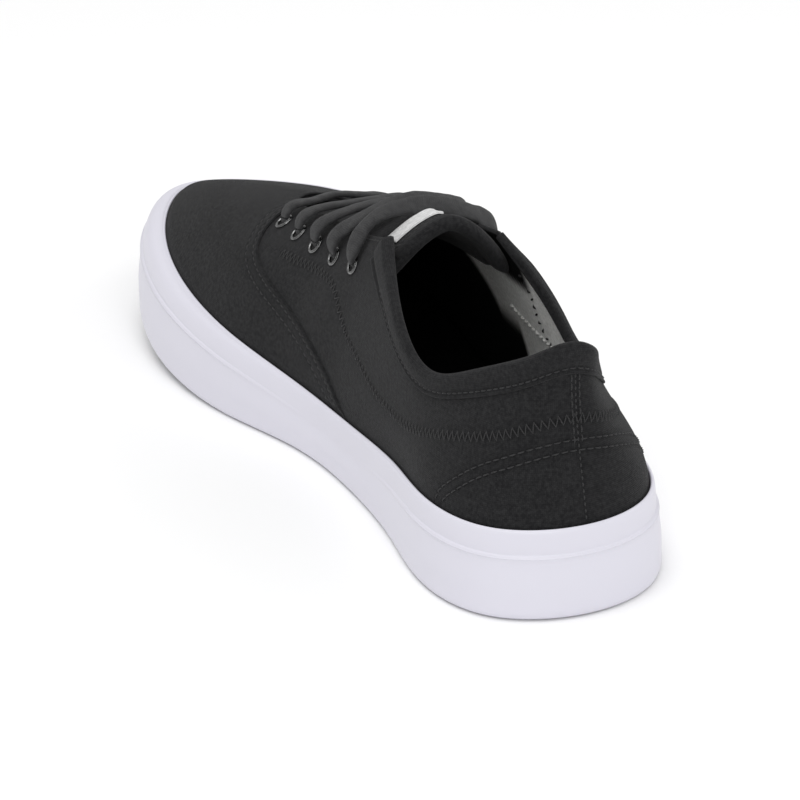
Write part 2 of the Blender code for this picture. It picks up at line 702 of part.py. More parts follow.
def make_eyelets(upper, collection, cutters, material):
    """Ten metal eyelets, each a rim on the canvas and a barrel through its own hole."""
    inner = EYELET_INNER / 2
    barrel = inner + EYELET_WALL
    outer = EYELET_OUTER / 2
    top = EYELET_SEAT + EYELET_RIM
    profile = ((inner, CLEARANCE - WALL), (barrel, CLEARANCE - WALL), (barrel, EYELET_SEAT),
               (outer, EYELET_SEAT), (outer - EYELET_ROUND, top), (inner + EYELET_WALL / 2, top))
    hole_profile = ((barrel + HOLE_CLEARANCE, -3 * WALL), (barrel + HOLE_CLEARANCE, 2 * WALL))
    hole_points = []
    hole_faces = []
    for place, (side, centre, axis) in enumerate(eyelet_frames()):
        points = turned_ring(profile, centre, axis, EYELET_SEGMENTS)
        name = f"eyelet_{side}_{place % EYELET_COUNT + 1}"
        faces = ring_faces(EYELET_SEGMENTS, len(profile))
        make_object(name, points, faces, collection, material, closed=True)
        bar = turned_ring(hole_profile, centre, axis, EYELET_SEGMENTS)
        start = len(hole_points)
        hole_points += list(bar.reshape(-1, 3))
        for here in range(EYELET_SEGMENTS):
            there = (here + 1) % EYELET_SEGMENTS
            hole_faces.append((start + 2 * here, start + 2 * here + 1,
                               start + 2 * there + 1, start + 2 * there))
        hole_faces.append(tuple(start + 2 * here for here in range(EYELET_SEGMENTS)))
        hole_faces.append(tuple(start + 2 * here + 1 for here in reversed(range(EYELET_SEGMENTS))))
    holes = make_object("eyelet_holes", hole_points, hole_faces, cutters, closed=True)
    cut(upper, holes)


def lace_section():
    """The flat oval of the lace: across its width and through its thickness."""
    angle = 2 * np.pi * (np.arange(LACE_SIDES) + 0.5) / LACE_SIDES
    return np.cos(angle) * LACE_WIDTH / 2 / np.cos(np.pi / LACE_SIDES), (
        np.sin(angle) * LACE_THICKNESS / 2 / np.sin(np.pi / 2 - np.pi / LACE_SIDES))


def throat_edge_at(side, along_shoe):
    """The turn at which the throat's edge on one side reaches a distance from the heel."""
    station = np.linspace(CORNER_STATION, STATIONS - 1, 201)
    turn = station / (2 * STATIONS) if side == "medial" else 1 - station / (2 * STATIONS)
    return np.interp(along_shoe, opening(turn)[:, 1], turn)


def lace_guides(medial, lateral):
    """Points and outward directions of one bar's middle line, from its medial eyelet across."""
    half = LACE_THICKNESS / 2
    over_rim = EYELET_SEAT + EYELET_RIM + LACE_END_LIFT + half
    sides = []
    for side, centre, axis in (medial, lateral):
        edge_turn = throat_edge_at(side, centre[1])
        edge_axis = wall_normal(edge_turn, 1.0)
        edge = opening(edge_turn) + edge_axis * (half + LACE_LIFT)
        end = centre + axis * over_rim
        climb = edge - end - axis * np.dot(edge - end, axis)
        past_rim = end + climb / np.linalg.norm(climb) * EYELET_OUTER / 2
        sides.append([(end, axis), (past_rim, axis), (edge, edge_axis)])
    along = tongue_place((medial[1][1] + lateral[1][1]) / 2)
    crown_axis = tongue_normal(along, 0.0)
    crown = tongue(along, 0.0) + crown_axis * (half + LACE_LIFT)
    crown[2] = max(crown[2], (sides[0][-1][0][2] + sides[1][-1][0][2]) / 2)
    guides = sides[0] + [(crown, crown_axis)] + sides[1][::-1]
    return np.array([point for point, _axis in guides]), np.array([axis for _point, axis in guides])


def make_lace_bars(collection, material):
    """The five straight lace bars, each from one eyelet over the tongue to the other."""
    frames = eyelet_frames()
    across, through = lace_section()
    for place in range(EYELET_COUNT):
        route, tilt = lace_guides(frames[place], frames[place + EYELET_COUNT])
        knots = np.concatenate([[0], np.cumsum(np.linalg.norm(np.diff(route, axis=0), axis=1))])
        reads = np.linspace(0, knots[-1], LACE_STEPS + 1)
        line = spline(knots, route, reads)
        tangent = np.gradient(line, axis=0)
        tangent /= np.linalg.norm(tangent, axis=1, keepdims=True)
        wide = np.cross(tangent, spline(knots, tilt, reads))
        wide /= np.linalg.norm(wide, axis=1, keepdims=True)
        thick = np.cross(wide, tangent)
        points = (line[:, None] + wide[:, None] * across[None, :, None]
                  + thick[:, None] * through[None, :, None])
        faces = grid_faces(len(line), LACE_SIDES, closed=True)
        last = LACE_STEPS * LACE_SIDES
        faces.append(tuple(range(LACE_SIDES)))
        faces.append(tuple(last + corner for corner in range(LACE_SIDES)))
        make_object(f"lace_bar_{place + 1}", points, faces, collection, material, closed=True)


def clear_scene():
    """Remove what the scene starts with."""
    for obj in list(bpy.data.objects):
        bpy.data.objects.remove(obj, do_unlink=True)


def main():
    clear_scene()
    shoe = bpy.data.collections.new("skate_shoe")
    cutters = bpy.data.collections.new("cutters")
    bpy.context.scene.collection.children.link(shoe)
    bpy.context.scene.collection.children.link(cutters)
    rubber = make_material("white rubber", (0.72, 0.71, 0.76), 0.45)
    canvas = make_material("black canvas", (0.032, 0.032, 0.034), 0.92)
    foam = make_material("grey sockliner", (0.18, 0.18, 0.19), 0.85)
    white_cloth = make_material("white label", (0.78, 0.78, 0.78), 0.7)
    gunmetal = make_material("gunmetal eyelets", (0.09, 0.09, 0.09), 0.3, 1.0)
    cord = make_material("black lace", (0.045, 0.045, 0.047), 0.85)
    make_outsole(shoe, cutters, rubber)
    make_foxing(shoe, rubber)
    make_insole(shoe, foam)
    upper = make_upper(shoe, canvas)
    make_tongue(shoe, canvas)
    make_label(shoe, white_cloth)
    make_eyelets(upper, shoe, cutters, gunmetal)
    make_lace_bars(shoe, cord)


main()
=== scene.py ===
"""Low canvas skateboarding shoe, right foot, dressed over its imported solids.

The shoe's own frame has the heel's back at y = 0, the toe towards +Y, the lateral side towards +X
and the floor at z = 0, in metres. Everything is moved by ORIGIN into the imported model's frame.
"""

import math

import bmesh
import bpy
import numpy as np
from mathutils import Matrix, Vector


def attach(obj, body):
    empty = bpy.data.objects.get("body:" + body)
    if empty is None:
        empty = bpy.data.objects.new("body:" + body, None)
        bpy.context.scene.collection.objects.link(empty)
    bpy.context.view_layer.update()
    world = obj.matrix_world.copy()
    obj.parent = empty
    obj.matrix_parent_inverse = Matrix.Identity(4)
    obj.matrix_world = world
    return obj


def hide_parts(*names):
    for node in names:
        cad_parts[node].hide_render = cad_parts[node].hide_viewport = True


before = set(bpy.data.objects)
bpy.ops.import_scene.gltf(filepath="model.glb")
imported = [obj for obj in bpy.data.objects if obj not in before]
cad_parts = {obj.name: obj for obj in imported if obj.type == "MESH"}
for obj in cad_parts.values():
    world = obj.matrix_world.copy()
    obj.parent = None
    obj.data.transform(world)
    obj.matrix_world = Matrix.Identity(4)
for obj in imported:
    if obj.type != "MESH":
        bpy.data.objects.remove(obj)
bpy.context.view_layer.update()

# Sizes
LENGTH = 0.300
BALL_WIDTH = 0.106
TOE_SPRING = 0.015
SPRING_START = 0.60
SPRING_POWER = 1.8
COLLAR_HEIGHT = 0.0875
COLLAR_WIDTH = 0.061
INSTEP_HEIGHT = 0.0872
THROAT_WIDTH = 0.040
CLEARANCE = 0.0003

# Sole
FOXING_HEIGHT = 0.032
FOXING_WALL = 0.0034
FOXING_HEM = 0.0012
FOXING_HEM_HEIGHT = 0.0030
LIP_WIDTH = 0.0009
FOXING_FLOOR_GAP = 0.0006
TOE_INSET = 0.0115
LEDGE_DROP = 0.0085
LEDGE_STEP = 0.0009
LEDGE_RUN = 0.0008
LEDGE_LEAN = 0.06
LEDGE_SET_IN = 0.0006
SLAB_HEEL = 0.0135
SLAB_FORE = 0.0080
SLAB_EASE_START = 0.25
SLAB_EASE_END = 0.60
INSOLE_THICKNESS = 0.0045

# Upper
WALL = 0.0020
LASTING_GAP = 0.0005
FOOT_GAP = 0.0013
BINDING_WIDTH = 0.0096

# Tongue, label, eyelets and laces
TONGUE_THICKNESS = 0.0032
TONGUE_CROWN = 0.0050
TONGUE_LAP = 0.0135
TONGUE_REACH = 0.0140
TONGUE_GAP = 0.0008
TONGUE_TOP_POWER_SHARE = 0.21
LABEL_THICKNESS = 0.0006
LABEL_LENGTH = 0.0085
LABEL_MARGIN = 0.0035
LABEL_REACH = 0.62
EYELET_OUTER = 0.0080
EYELET_INNER = 0.0050
EYELET_RIM = 0.0009
EYELET_SEAT = 0.0004
EYELET_MARGIN = 0.0138
EYELET_FIRST_SHARE = 0.640
EYELET_LAST_SHARE = 0.427
EYELET_COUNT = 5
LACE_WIDTH = 0.0060
LACE_THICKNESS = 0.0030
LACE_LIFT = 0.0007
LACE_END_LIFT = 0.0007

# Each side of the shoe has stations 0 (back of the heel) to 10 (tip of the toe).
# along: share of LENGTH. medial, lateral: share of BALL_WIDTH. rim_m, rim_l: share of FOXING_HEIGHT.
# inset_m, inset_l: how far the rim stands in from the widest line, share of TOE_INSET.
# ledge: how much of the side step shows there.
OUTLINE_COLUMNS = ("along", "medial", "lateral", "rim_m", "rim_l", "inset_m", "inset_l", "ledge")
OUTLINE_ROWS = (
    (0.00, 0.000, 0.000, 0.94, 0.94, 0.30, 0.30, 1.0),
    (0.04, -0.278, 0.268, 0.94, 0.94, 0.30, 0.30, 1.0),
    (0.14, -0.370, 0.372, 0.92, 0.92, 0.29, 0.29, 0.9),
    (0.25, -0.334, 0.372, 0.84, 0.84, 0.26, 0.27, 0.3),
    (0.37, -0.313, 0.378, 0.73, 0.75, 0.22, 0.27, 0.0),
    (0.49, -0.342, 0.405, 0.73, 0.75, 0.27, 0.34, 0.1),
    (0.60, -0.437, 0.442, 0.87, 0.84, 0.46, 0.48, 0.6),
    (0.71, -0.497, 0.468, 0.97, 0.91, 0.68, 0.68, 1.0),
    (0.82, -0.482, 0.452, 1.01, 0.90, 0.83, 0.83, 1.0),
    (0.93, -0.363, 0.330, 0.93, 0.79, 0.95, 0.95, 1.0),
    (1.00, -0.085, -0.085, 0.75, 0.75, 1.00, 1.00, 1.0),
)

# The way that the upper leaves the rim and reaches the opening, in degrees above the level inward
# direction: 90 is upright, and more leans outward.
LEAN_COLUMNS = ("start_m", "start_l", "end_m", "end_l")
LEAN_ROWS = (
    (80, 80, 102, 102),
    (84, 84, 97, 96),
    (90, 87, 90, 88),
    (95, 93, 84, 82),
    (93, 92, 72, 76),
    (84, 84, 48, 50),
    (70, 72, 34, 34),
    (55, 55, 22, 22),
    (41, 38, 13, 15),
    (29, 21, 10, 18),
    (21, 21, 11, 11),
)

# The collar's edge, with the heel's back first: the station, then across as a share of COLLAR_WIDTH,
# along as a share of LENGTH and height as a share of COLLAR_HEIGHT, medial first and then lateral.
COLLAR_ROWS = (
    (0.0, -0.020, 0.0245, 1.006, -0.020, 0.0245, 1.006),
    (0.45, -0.128, 0.0295, 0.998, 0.082, 0.0320, 0.975),
    (1.0, -0.225, 0.0530, 0.943, 0.176, 0.0640, 0.907),
    (2.0, -0.390, 0.1230, 0.827, 0.337, 0.1340, 0.781),
    (3.0, -0.480, 0.2000, 0.770, 0.473, 0.2120, 0.690),
    (4.0, -0.418, 0.3000, 0.900, 0.488, 0.3070, 0.755),
)

# The throat's edge from the top of the eyestay to the front: across as a share of THROAT_WIDTH, along
# as a share of LENGTH and height as a share of INSTEP_HEIGHT, medial first and then lateral.
THROAT_ROWS = (
    (-0.438, 0.370, 1.000, 0.560, 0.373, 0.935),
    (-0.400, 0.430, 0.930, 0.490, 0.433, 0.912),
    (-0.345, 0.520, 0.855, 0.400, 0.523, 0.848),
    (-0.275, 0.603, 0.784, 0.310, 0.607, 0.764),
    (-0.225, 0.663, 0.730, 0.200, 0.667, 0.702),
    (-0.178, 0.696, 0.703, 0.130, 0.696, 0.690),
    (-0.030, 0.708, 0.697, -0.030, 0.708, 0.697),
)
STATIONS = 10
CORNER_STATION = 4.5

# The seam where the vamp laps over the quarter: share of the way up the wall, and its station.
SEAM_COLUMNS = ("up", "station_m", "station_l")
SEAM_ROWS = (
    (0.00, 4.20, 4.20),
    (0.20, 4.78, 4.78),
    (0.35, 5.50, 5.50),
    (0.45, 6.38, 6.38),
    (0.56, 6.88, 6.88),
    (0.72, 7.30, 7.30),
    (1.00, 8.10, 8.10),
)
LEVEL_BLEND = 0.030

# The tongue from its front, under the vamp, to its top: the station of the throat that it passes,
# how far its crown stands above the eyestays' edges, as a share of TONGUE_CROWN, how far it reaches
# under them, as a share of TONGUE_LAP, and the power of its arch: higher is flatter on top.
TONGUE_COLUMNS = ("station", "crown", "lap", "curve")
TONGUE_ROWS = (
    (9.2, -0.70, 0.90, 1.40),
    (8.3, -0.56, 0.95, 1.40),
    (7.6, -0.40, 1.00, 1.35),
    (7.0, -0.08, 1.00, 1.35),
    (6.4, 0.28, 1.00, 1.35),
    (5.8, 0.68, 1.00, 1.36),
    (5.2, 0.98, 1.00, 1.38),
    (4.7, 1.05, 1.05, 1.42),
)

# Dressing sizes
MILLIMETRE = 0.001
FOXING_COLUMNS = 640
LEDGE_LINE = 0.00022
LEDGE_RIDGE = 0.00016
LIP_START = 0.0004
LIP_ROLL = 0.00045
LIP_FALL = 0.0002
SHELL_COLUMNS = 560
SHELL_ROWS = 76
FOOT_ROWS = 4
LINING_ROWS = 30
LINING_SHADE_LEVEL = 0.0425
LINING_SHADE_SOFT = 0.0045
VAMP_CLOTH = 0.0009
VAMP_UNDER = 0.00006
VAMP_PUFF = 0.00006
VAMP_EDGE_RUN = 0.0005
VAMP_FOOT_DROP = 0.004
VAMP_COLUMNS = 330
MEDIAL_DROP = 0.0024
EYESTAY_DROP = 0.0040
LATERAL_DROP = 0.0036
TAPE_FULL_MEDIAL = 0.0014
TAPE_FULL_LATERAL = 0.0013
TONGUE_TOP_ROUND = 0.02
TONGUE_PAD = 0.0007
LACE_DIP = 0.0012
TONGUE_BAND = 0.0062
TONGUE_TRAVEL = 0.068
LABEL_END = 0.07
LABEL_SHIFT = 0.0060
LABEL_ROUND = 0.0005
SOCKLINER_ROUND = 0.0015
SOCKLINER_DROP = 0.0012
RUN_HALF_WIDTH = 0.0022
RUN_HALF_THICKNESS = 0.0005
RUN_GAP = 0.0011
WEAVE_PITCH = 0.00062
BRAID_PITCH = 0.00075

# Thread: how far a row lies over the cloth, how far it runs from an edge, a seam or another row, and
# each row's own stitches.
THREAD = 0.00055
ROW_LIFT = 0.0001
TAPE_ROW_LIFT = 0.00068
TONGUE_ROW_LIFT = 0.0006
VAMP_ROW_GAPS = (0.0015, 0.0050)
COUNTER_ROW_GAP = 0.0034
HEEL_ROW_GAP = 0.0013
EYESTAY_ROW_GAP = 0.0022
BINDING_ROW_DEPTH = BINDING_WIDTH - 0.0021
TONGUE_ROW_DEPTH = TONGUE_BAND - 0.0014
PLAIN_STITCH = {"pitch": 0.0029, "length": 0.0023}
TAPE_STITCH = {"pitch": 0.0026, "length": 0.0021}
HEEL_STITCH = {"pitch": 0.0021, "length": 0.0017, "thick": 0.0006}
ZIGZAG_STITCH = {"pitch": 0.00125, "length": 0.00132, "thick": 0.00042, "zigzag": 0.0017}
LINING_DASH = {"pitch": 0.0029, "length": 0.0011, "thick": 0.0008, "zigzag": 0.0009}
LINING_STITCH = {"pitch": 0.0027, "length": 0.0024, "thick": 0.0012, "zigzag": 0.0003}

# Rows of stitches on the quarters, from the medial front to the heel's middle: station and share of
# the way up the wall. They go on over the lateral side as on the medial one.
ZIGZAG_ROWS = (
    (6.30, 0.60), (5.40, 0.65), (4.96, 0.63), (4.72, 0.54), (4.46, 0.44), (4.20, 0.42), (3.72, 0.37),
    (3.42, 0.365), (3.06, 0.38), (2.60, 0.43), (2.06, 0.49), (1.26, 0.54), (0.82, 0.565), (0.0, 0.575),
)
COUNTER_ROWS = (
    (1.86, 0.03), (1.80, 0.12), (1.66, 0.21), (1.48, 0.30), (1.26, 0.37), (1.02, 0.41), (0.74, 0.44),
    (0.32, 0.455), (0.0, 0.457),
)

# Rows of stitches that show on the lining: signed station, positive on the medial side, and share up.
LINING_DASHES = (
    (-4.29, 0.89), (-4.18, 0.84), (-4.12, 0.755), (-4.05, 0.67), (-3.92, 0.605), (-3.77, 0.578),
    (-3.42, 0.56), (-3.06, 0.56), (-2.06, 0.56), (-1.26, 0.565), (0.0, 0.575), (1.26, 0.565),
    (2.06, 0.52), (3.06, 0.45), (4.0, 0.44),
)
LINING_SEAM = (
    (-4.50, 0.43), (-4.37, 0.455), (-4.18, 0.50), (-3.96, 0.545), (-3.79, 0.575),
    (-3.55, 0.60), (-3.2, 0.62),
)

# How far each lace's five guides between its eyelets, from the medial one across, are moved, in
# millimetres.
LACE_SWINGS = (
    ((0.3, 0, -0.6), (0, 0, 0), (0, 1.0, 1.1), (-0.5, 0.5, 0.2), (-1.0, 0, -1.2)),
    ((0.3, 0, -0.6), (0, 0, 0), (0, -1.5, 0.4), (0, 0, 0), (-0.3, 0, -1.1)),
    ((0.3, 0, -0.7), (0, -0.5, 0), (0, -3.5, 0.6), (0, -1.5, 0), (-0.3, 0, -1.1)),
    ((0.3, 0, -0.7), (0, -1.0, 0.3), (0, -8.0, 3.6), (0, -5.0, 2.6), (0, 0, -0.9)),
    ((1.0, -0.8, -0.4), (1.5, -0.5, 2.8), (0, -3.0, 1.1), (0, -2.0, 0.1), (0, 0, -0.9)),
)

# How far each lace's flat face leans back towards the heel, and the share of it at its five guides.
LACE_LEANS = (0.10, 0.15, 0.25, 0.50, 0.80)
LEAN_SHARES = (0.2, 0.35, 1.0, 1.0, 0.3)

# How a lace turns through an eyelet, from under the wall up over the rim: its rise along the eyelet's
# axis and its run towards the other eyelet, in metres, how much its flat face looks along each, and its
# shares of the width and of the thickness.
LACE_TURN_ROWS = (
    (-WALL - 0.0009, -0.0002, 0.5, 1.0, 0.72, 0.50),
    (0.0002, 0.0002, 0.3, 1.0, 0.70, 0.72),
    (0.0022, 0.0018, 1.0, 0.35, 0.86, 0.90),
)

# Soft dents pressed into the canvas: signed station, share up, half width in stations, half height as
# a share, and depth in millimetres, where a negative depth is a ridge.
CREASE_ROWS = (
    (7.6, 0.42, 0.55, 0.30, 0.35),
    (6.9, 0.25, 0.40, 0.22, -0.25),
    (5.7, 0.33, 0.35, 0.30, 0.45),
    (5.0, 0.42, 0.22, 0.30, -0.35),
    (4.5, 0.30, 0.30, 0.24, 0.40),
    (3.4, 0.55, 0.45, 0.20, 0.35),
    (2.3, 0.30, 0.40, 0.30, -0.30),
    (-7.4, 0.45, 0.50, 0.30, 0.40),
    (-5.8, 0.35, 0.35, 0.28, 0.40),
    (-4.9, 0.45, 0.25, 0.30, -0.35),
    (-3.6, 0.50, 0.45, 0.22, 0.40),
    (-2.2, 0.35, 0.40, 0.26, -0.30),
)

UP = np.array([0.0, 0.0, 1.0])
FINE_STEP = 1e-3


def spline(knots, values, at):
    """Natural cubic curve through values at the knots, read at the places in the array at."""
    knots = np.asarray(knots, float)
    values = np.asarray(values, float)
    at = np.asarray(at, float)
    count = len(knots)
    gaps = np.diff(knots)
    slopes = (values[1:] - values[:-1]) / (gaps if values.ndim == 1 else gaps[:, None])
    system = np.eye(count)
    right = np.zeros(values.shape)
    inner = np.arange(1, count - 1)
    system[inner, inner - 1] = gaps[:-1]
    system[inner, inner] = 2 * (gaps[:-1] + gaps[1:])
    system[inner, inner + 1] = gaps[1:]
    right[inner] = 6 * (slopes[1:] - slopes[:-1])
    bend = np.linalg.solve(system, right)
    i = np.clip(np.searchsorted(knots, at, side="right") - 1, 0, count - 2)
    width = gaps[i]
    before = (knots[i + 1] - at) / width
    after = (at - knots[i]) / width
    if values.ndim > 1:
        width, before, after = width[..., None], before[..., None], after[..., None]
    curve = before * values[i] + after * values[i + 1]
    curve += ((before**3 - before) * bend[i] + (after**3 - after) * bend[i + 1]) * width**2 / 6
    return curve


def column(columns, rows, name):
    """One named column of a table as an array."""
    return np.array([row[columns.index(name)] for row in rows], float)


def unit(vectors):
    """Vectors scaled to length one."""
    return vectors / np.maximum(np.linalg.norm(vectors, axis=-1, keepdims=True), 1e-12)


def travelled(points, axis=0):
    """Distance travelled along one axis of a grid of points, from 0 at its start."""
    steps = np.linalg.norm(np.diff(points, axis=axis), axis=-1)
    start = np.zeros_like(np.take(steps, [0], axis=axis))
    return np.cumsum(np.concatenate([start, steps], axis=axis), axis=axis)


def ease(share):
    """Smooth step: 3 s squared less 2 s cubed, held at 0 and 1 outside."""
    share = np.clip(share, 0, 1)
    return share * share * (3 - 2 * share)


def bell(place, middle, half_width):
    """Round bell: e to the power of minus the square of the distance over the half width."""
    return np.exp(-((place - middle) / half_width) ** 2)


def quarter_round(share):
    """Height of a quarter circle, from 0 at share 0 to 1 at share 1, and held outside."""
    return np.sqrt(np.clip(1 - (1 - np.clip(share, 0, 1)) ** 2, 0, 1))


def smoothed(guides, count):
    """A smooth section through guide points, at even steps of the way travelled between them."""
    knots = travelled(guides)
    return spline(knots, guides, np.linspace(0, knots[-1], count))


def circle_angles(count):
    """Even angles once round."""
    return 2 * np.pi * np.arange(count) / count


def around(medial, lateral, turn):
    """Closed curve through one value per station on each side, read at the turns."""
    ring = np.concatenate([medial, lateral[-2:0:-1]])
    wrap = 5
    knots = np.arange(-wrap, len(ring) + wrap + 1)
    values = ring[knots % len(ring)]
    return spline(knots, values, np.mod(turn, 1.0) * len(ring))


def outline_column(name, turn):
    """A column of the outline table that is the same, or has an _m and an _l form, for both sides."""
    names = (name, name) if name in OUTLINE_COLUMNS else (name + "_m", name + "_l")
    sides = [column(OUTLINE_COLUMNS, OUTLINE_ROWS, each) for each in names]
    return around(sides[0], sides[1], turn)


def footprint(turn):
    """The widest line of the sole seen from above, x and y."""
    along = column(OUTLINE_COLUMNS, OUTLINE_ROWS, "along") * LENGTH
    medial = column(OUTLINE_COLUMNS, OUTLINE_ROWS, "medial") * BALL_WIDTH
    lateral = column(OUTLINE_COLUMNS, OUTLINE_ROWS, "lateral") * BALL_WIDTH
    return np.stack([around(medial, lateral, turn), around(along, along, turn)], axis=-1)


def inward(turn):
    """Level unit vector that points into the shoe, square to the footprint."""
    run = unit(footprint(turn + FINE_STEP / 10) - footprint(turn - FINE_STEP / 10))
    return np.stack([run[..., 1], -run[..., 0], np.zeros(run.shape[:-1])], axis=-1)


def spring(along):
    """How far the sole's underside has left the floor at a distance from the heel."""
    share = np.clip((along / LENGTH - SPRING_START) / (1 - SPRING_START), 0, None)
    return TOE_SPRING * share**SPRING_POWER


def slab_height(along):
    """Thickness of the outsole slab: thick under the heel, thin under the ball, eased between."""
    share = (along / LENGTH - SLAB_EASE_START) / (SLAB_EASE_END - SLAB_EASE_START)
    return SLAB_HEEL + (SLAB_FORE - SLAB_HEEL) * ease(share)


def rim_height(turn):
    """Height of the sole's rim above its underside."""
    return outline_column("rim", turn) * FOXING_HEIGHT


def rim_inset(turn):
    """Distance of the rim's inner edge from the widest line."""
    return outline_column("inset", turn) * TOE_INSET


def side_point(turn, inset, height):
    """A point in the section at a turn: inset from the widest line and height above the underside."""
    flat = footprint(turn)
    base = np.concatenate([flat, spring(flat[..., 1:2])], axis=-1)
    return base + inward(turn) * np.asarray(inset)[..., None] + UP * np.asarray(height)[..., None]


def lasting_inset(turn, height):
    """Inset of the sole's inner face: upright beside the slab, then leaning in to the rim."""
    slab = slab_height(footprint(turn)[..., 1])
    share = np.clip((height - slab) / (rim_height(turn) - slab), 0, 1)
    return FOXING_WALL + (rim_inset(turn) - FOXING_WALL) * share


def signed_station(turn):
    """Station of a turn, from 0 at the heel's back: medial ones are positive, lateral ones negative."""
    place = np.mod(turn, 1.0) * 2 * STATIONS
    return np.where(place > STATIONS, place - 2 * STATIONS, place)


def signed_turn(station):
    """Turn of a signed station."""
    return np.mod(np.asarray(station, float) / (2 * STATIONS), 1.0)


def opening(turn):
    """The edge of the collar and the throat, with a corner at the top of each eyestay."""
    place = np.mod(turn, 1.0) * 2 * STATIONS
    collar_scale = np.array([COLLAR_WIDTH, LENGTH, COLLAR_HEIGHT])
    throat_scale = np.array([THROAT_WIDTH, LENGTH, INSTEP_HEIGHT])
    collar = np.array(COLLAR_ROWS)
    throat = np.array(THROAT_ROWS)
    collar_m, collar_l = collar[:, 1:4] * collar_scale, collar[:, 4:] * collar_scale
    throat_m, throat_l = throat[:, :3] * throat_scale, throat[:, 3:] * throat_scale
    back_knots = collar[:, 0]
    back_knots = np.concatenate([[-CORNER_STATION], -back_knots[:0:-1], back_knots, [CORNER_STATION]])
    back = np.concatenate([throat_l[:1], collar_l[:0:-1], collar_m, throat_m[:1]])
    front_knots = np.concatenate([[CORNER_STATION], np.arange(5, STATIONS + 1)])
    front_knots = np.concatenate([front_knots, 2 * STATIONS - front_knots[-2::-1]])
    front = np.concatenate([throat_m, throat_l[-2::-1]])
    signed = signed_station(turn)
    at_back = spline(back_knots, back, np.clip(signed, -CORNER_STATION, CORNER_STATION))
    far_corner = 2 * STATIONS - CORNER_STATION
    at_front = spline(front_knots, front, np.clip(place, CORNER_STATION, far_corner))
    return np.where((np.abs(signed) <= CORNER_STATION)[..., None], at_back, at_front)


def wall(turn, up):
    """The upper's outer face: a smooth arc from the rim (up = 0) to the opening (up = 1)."""
    turn, up = np.broadcast_arrays(np.asarray(turn, float), np.asarray(up, float))
    foot = side_point(turn, rim_inset(turn) + LASTING_GAP, rim_height(turn))
    top = opening(turn)
    reach = top - foot
    flat = reach * np.array([1.0, 1.0, 0.0])
    run = np.linalg.norm(flat, axis=-1, keepdims=True)
    weight = np.clip(run / LEVEL_BLEND, 0, 1)
    level = unit(inward(turn) * (1 - weight) + flat / run * weight)
    span = np.linalg.norm(reach, axis=-1, keepdims=True)
    tangents = []
    for name in ("start", "end"):
        sides = [column(LEAN_COLUMNS, LEAN_ROWS, name + side) for side in ("_m", "_l")]
        angle = np.radians(around(sides[0], sides[1], turn))[..., None]
        tangents.append((level * np.cos(angle) + UP * np.sin(angle)) * span)
    u = up[..., None]
    curve = foot * (2 * u**3 - 3 * u**2 + 1) + top * (3 * u**2 - 2 * u**3)
    return curve + tangents[0] * (u**3 - 2 * u**2 + u) + tangents[1] * (u**3 - u**2)


def wall_normal(turn, up):
    """Unit vector that points out of the upper's outer face."""
    along = wall(turn + FINE_STEP, up) - wall(turn - FINE_STEP, up)
    climb = wall(turn, np.minimum(up + FINE_STEP, 1)) - wall(turn, np.maximum(up - FINE_STEP, 0))
    return unit(np.cross(climb, along))


def wall_length(turn):
    """Length of the wall's arc from the rim to the opening."""
    ups = np.linspace(0, 1, 17)
    points = wall(np.asarray(turn)[..., None], ups)
    return np.linalg.norm(np.diff(points, axis=-2), axis=-1).sum(axis=-1)


def footprint_middle():
    """Middle of the footprint's box, which becomes the object's origin."""
    points = footprint(np.linspace(0, 1, 4001))
    return (points.min(axis=0) + points.max(axis=0)) / 2


ORIGIN = np.append(footprint_middle(), 0.0)


def eyestay_point(station, side, drop):
    """A place on the wall at a distance below the throat's edge: its turn and its share up."""
    turn = np.asarray(station) / (2 * STATIONS)
    if side == "lateral":
        turn = 1 - turn
    return turn, 1 - drop / wall_length(turn)


def tongue_rows():
    """Medial edge, crown and lateral edge of each of the tongue's sections, from front to top."""
    station = column(TONGUE_COLUMNS, TONGUE_ROWS, "station")
    rise = column(TONGUE_COLUMNS, TONGUE_ROWS, "crown") * TONGUE_CROWN
    lap = column(TONGUE_COLUMNS, TONGUE_ROWS, "lap") * TONGUE_LAP
    edges = []
    for side in ("medial", "lateral"):
        turn, up = eyestay_point(station, side, lap)
        edges.append(wall(turn, up) - wall_normal(turn, up) * (WALL + TONGUE_GAP))
    throat = (opening(station / (2 * STATIONS)) + opening(1 - station / (2 * STATIONS))) / 2
    crown = throat + UP * rise[:, None]
    sections = np.stack([edges[0], crown, edges[1]], axis=1)
    last = unit(sections[-1] - sections[-2])
    return np.concatenate([sections, [sections[-1] + last * TONGUE_REACH * share
                                      for share in (0.5, 1.0)]])


def tongue(along, across):
    """The tongue's outer face: along from 0 (front) to 1 (top), across from -1 to 1 (lateral)."""
    along, across = np.broadcast_arrays(np.asarray(along, float), np.asarray(across, float))
    sections = tongue_rows()
    places = along * (len(sections) - 1)
    power = column(TONGUE_COLUMNS, TONGUE_ROWS, "curve")
    power = np.concatenate([power, power[-1] * (1 + np.array([0.5, 1.0]) * TONGUE_TOP_POWER_SHARE)])
    arch = spline(np.arange(len(sections)), power, places)[..., None]
    medial, crown, lateral = (spline(np.arange(len(sections)), sections[:, i], places)
                              for i in range(3))
    share = across[..., None]
    chord = (medial * (1 - share) + lateral * (1 + share)) / 2
    middle = (medial + lateral) / 2
    return chord + (crown - middle) * (1 - np.abs(share) ** arch)


def tongue_normal(along, across):
    """Unit vector that points out of the tongue's outer face."""
    climb = tongue(along + FINE_STEP, across) - tongue(along - FINE_STEP, across)
    over = tongue(along, across + FINE_STEP) - tongue(along, across - FINE_STEP)
    return unit(np.cross(climb, over))


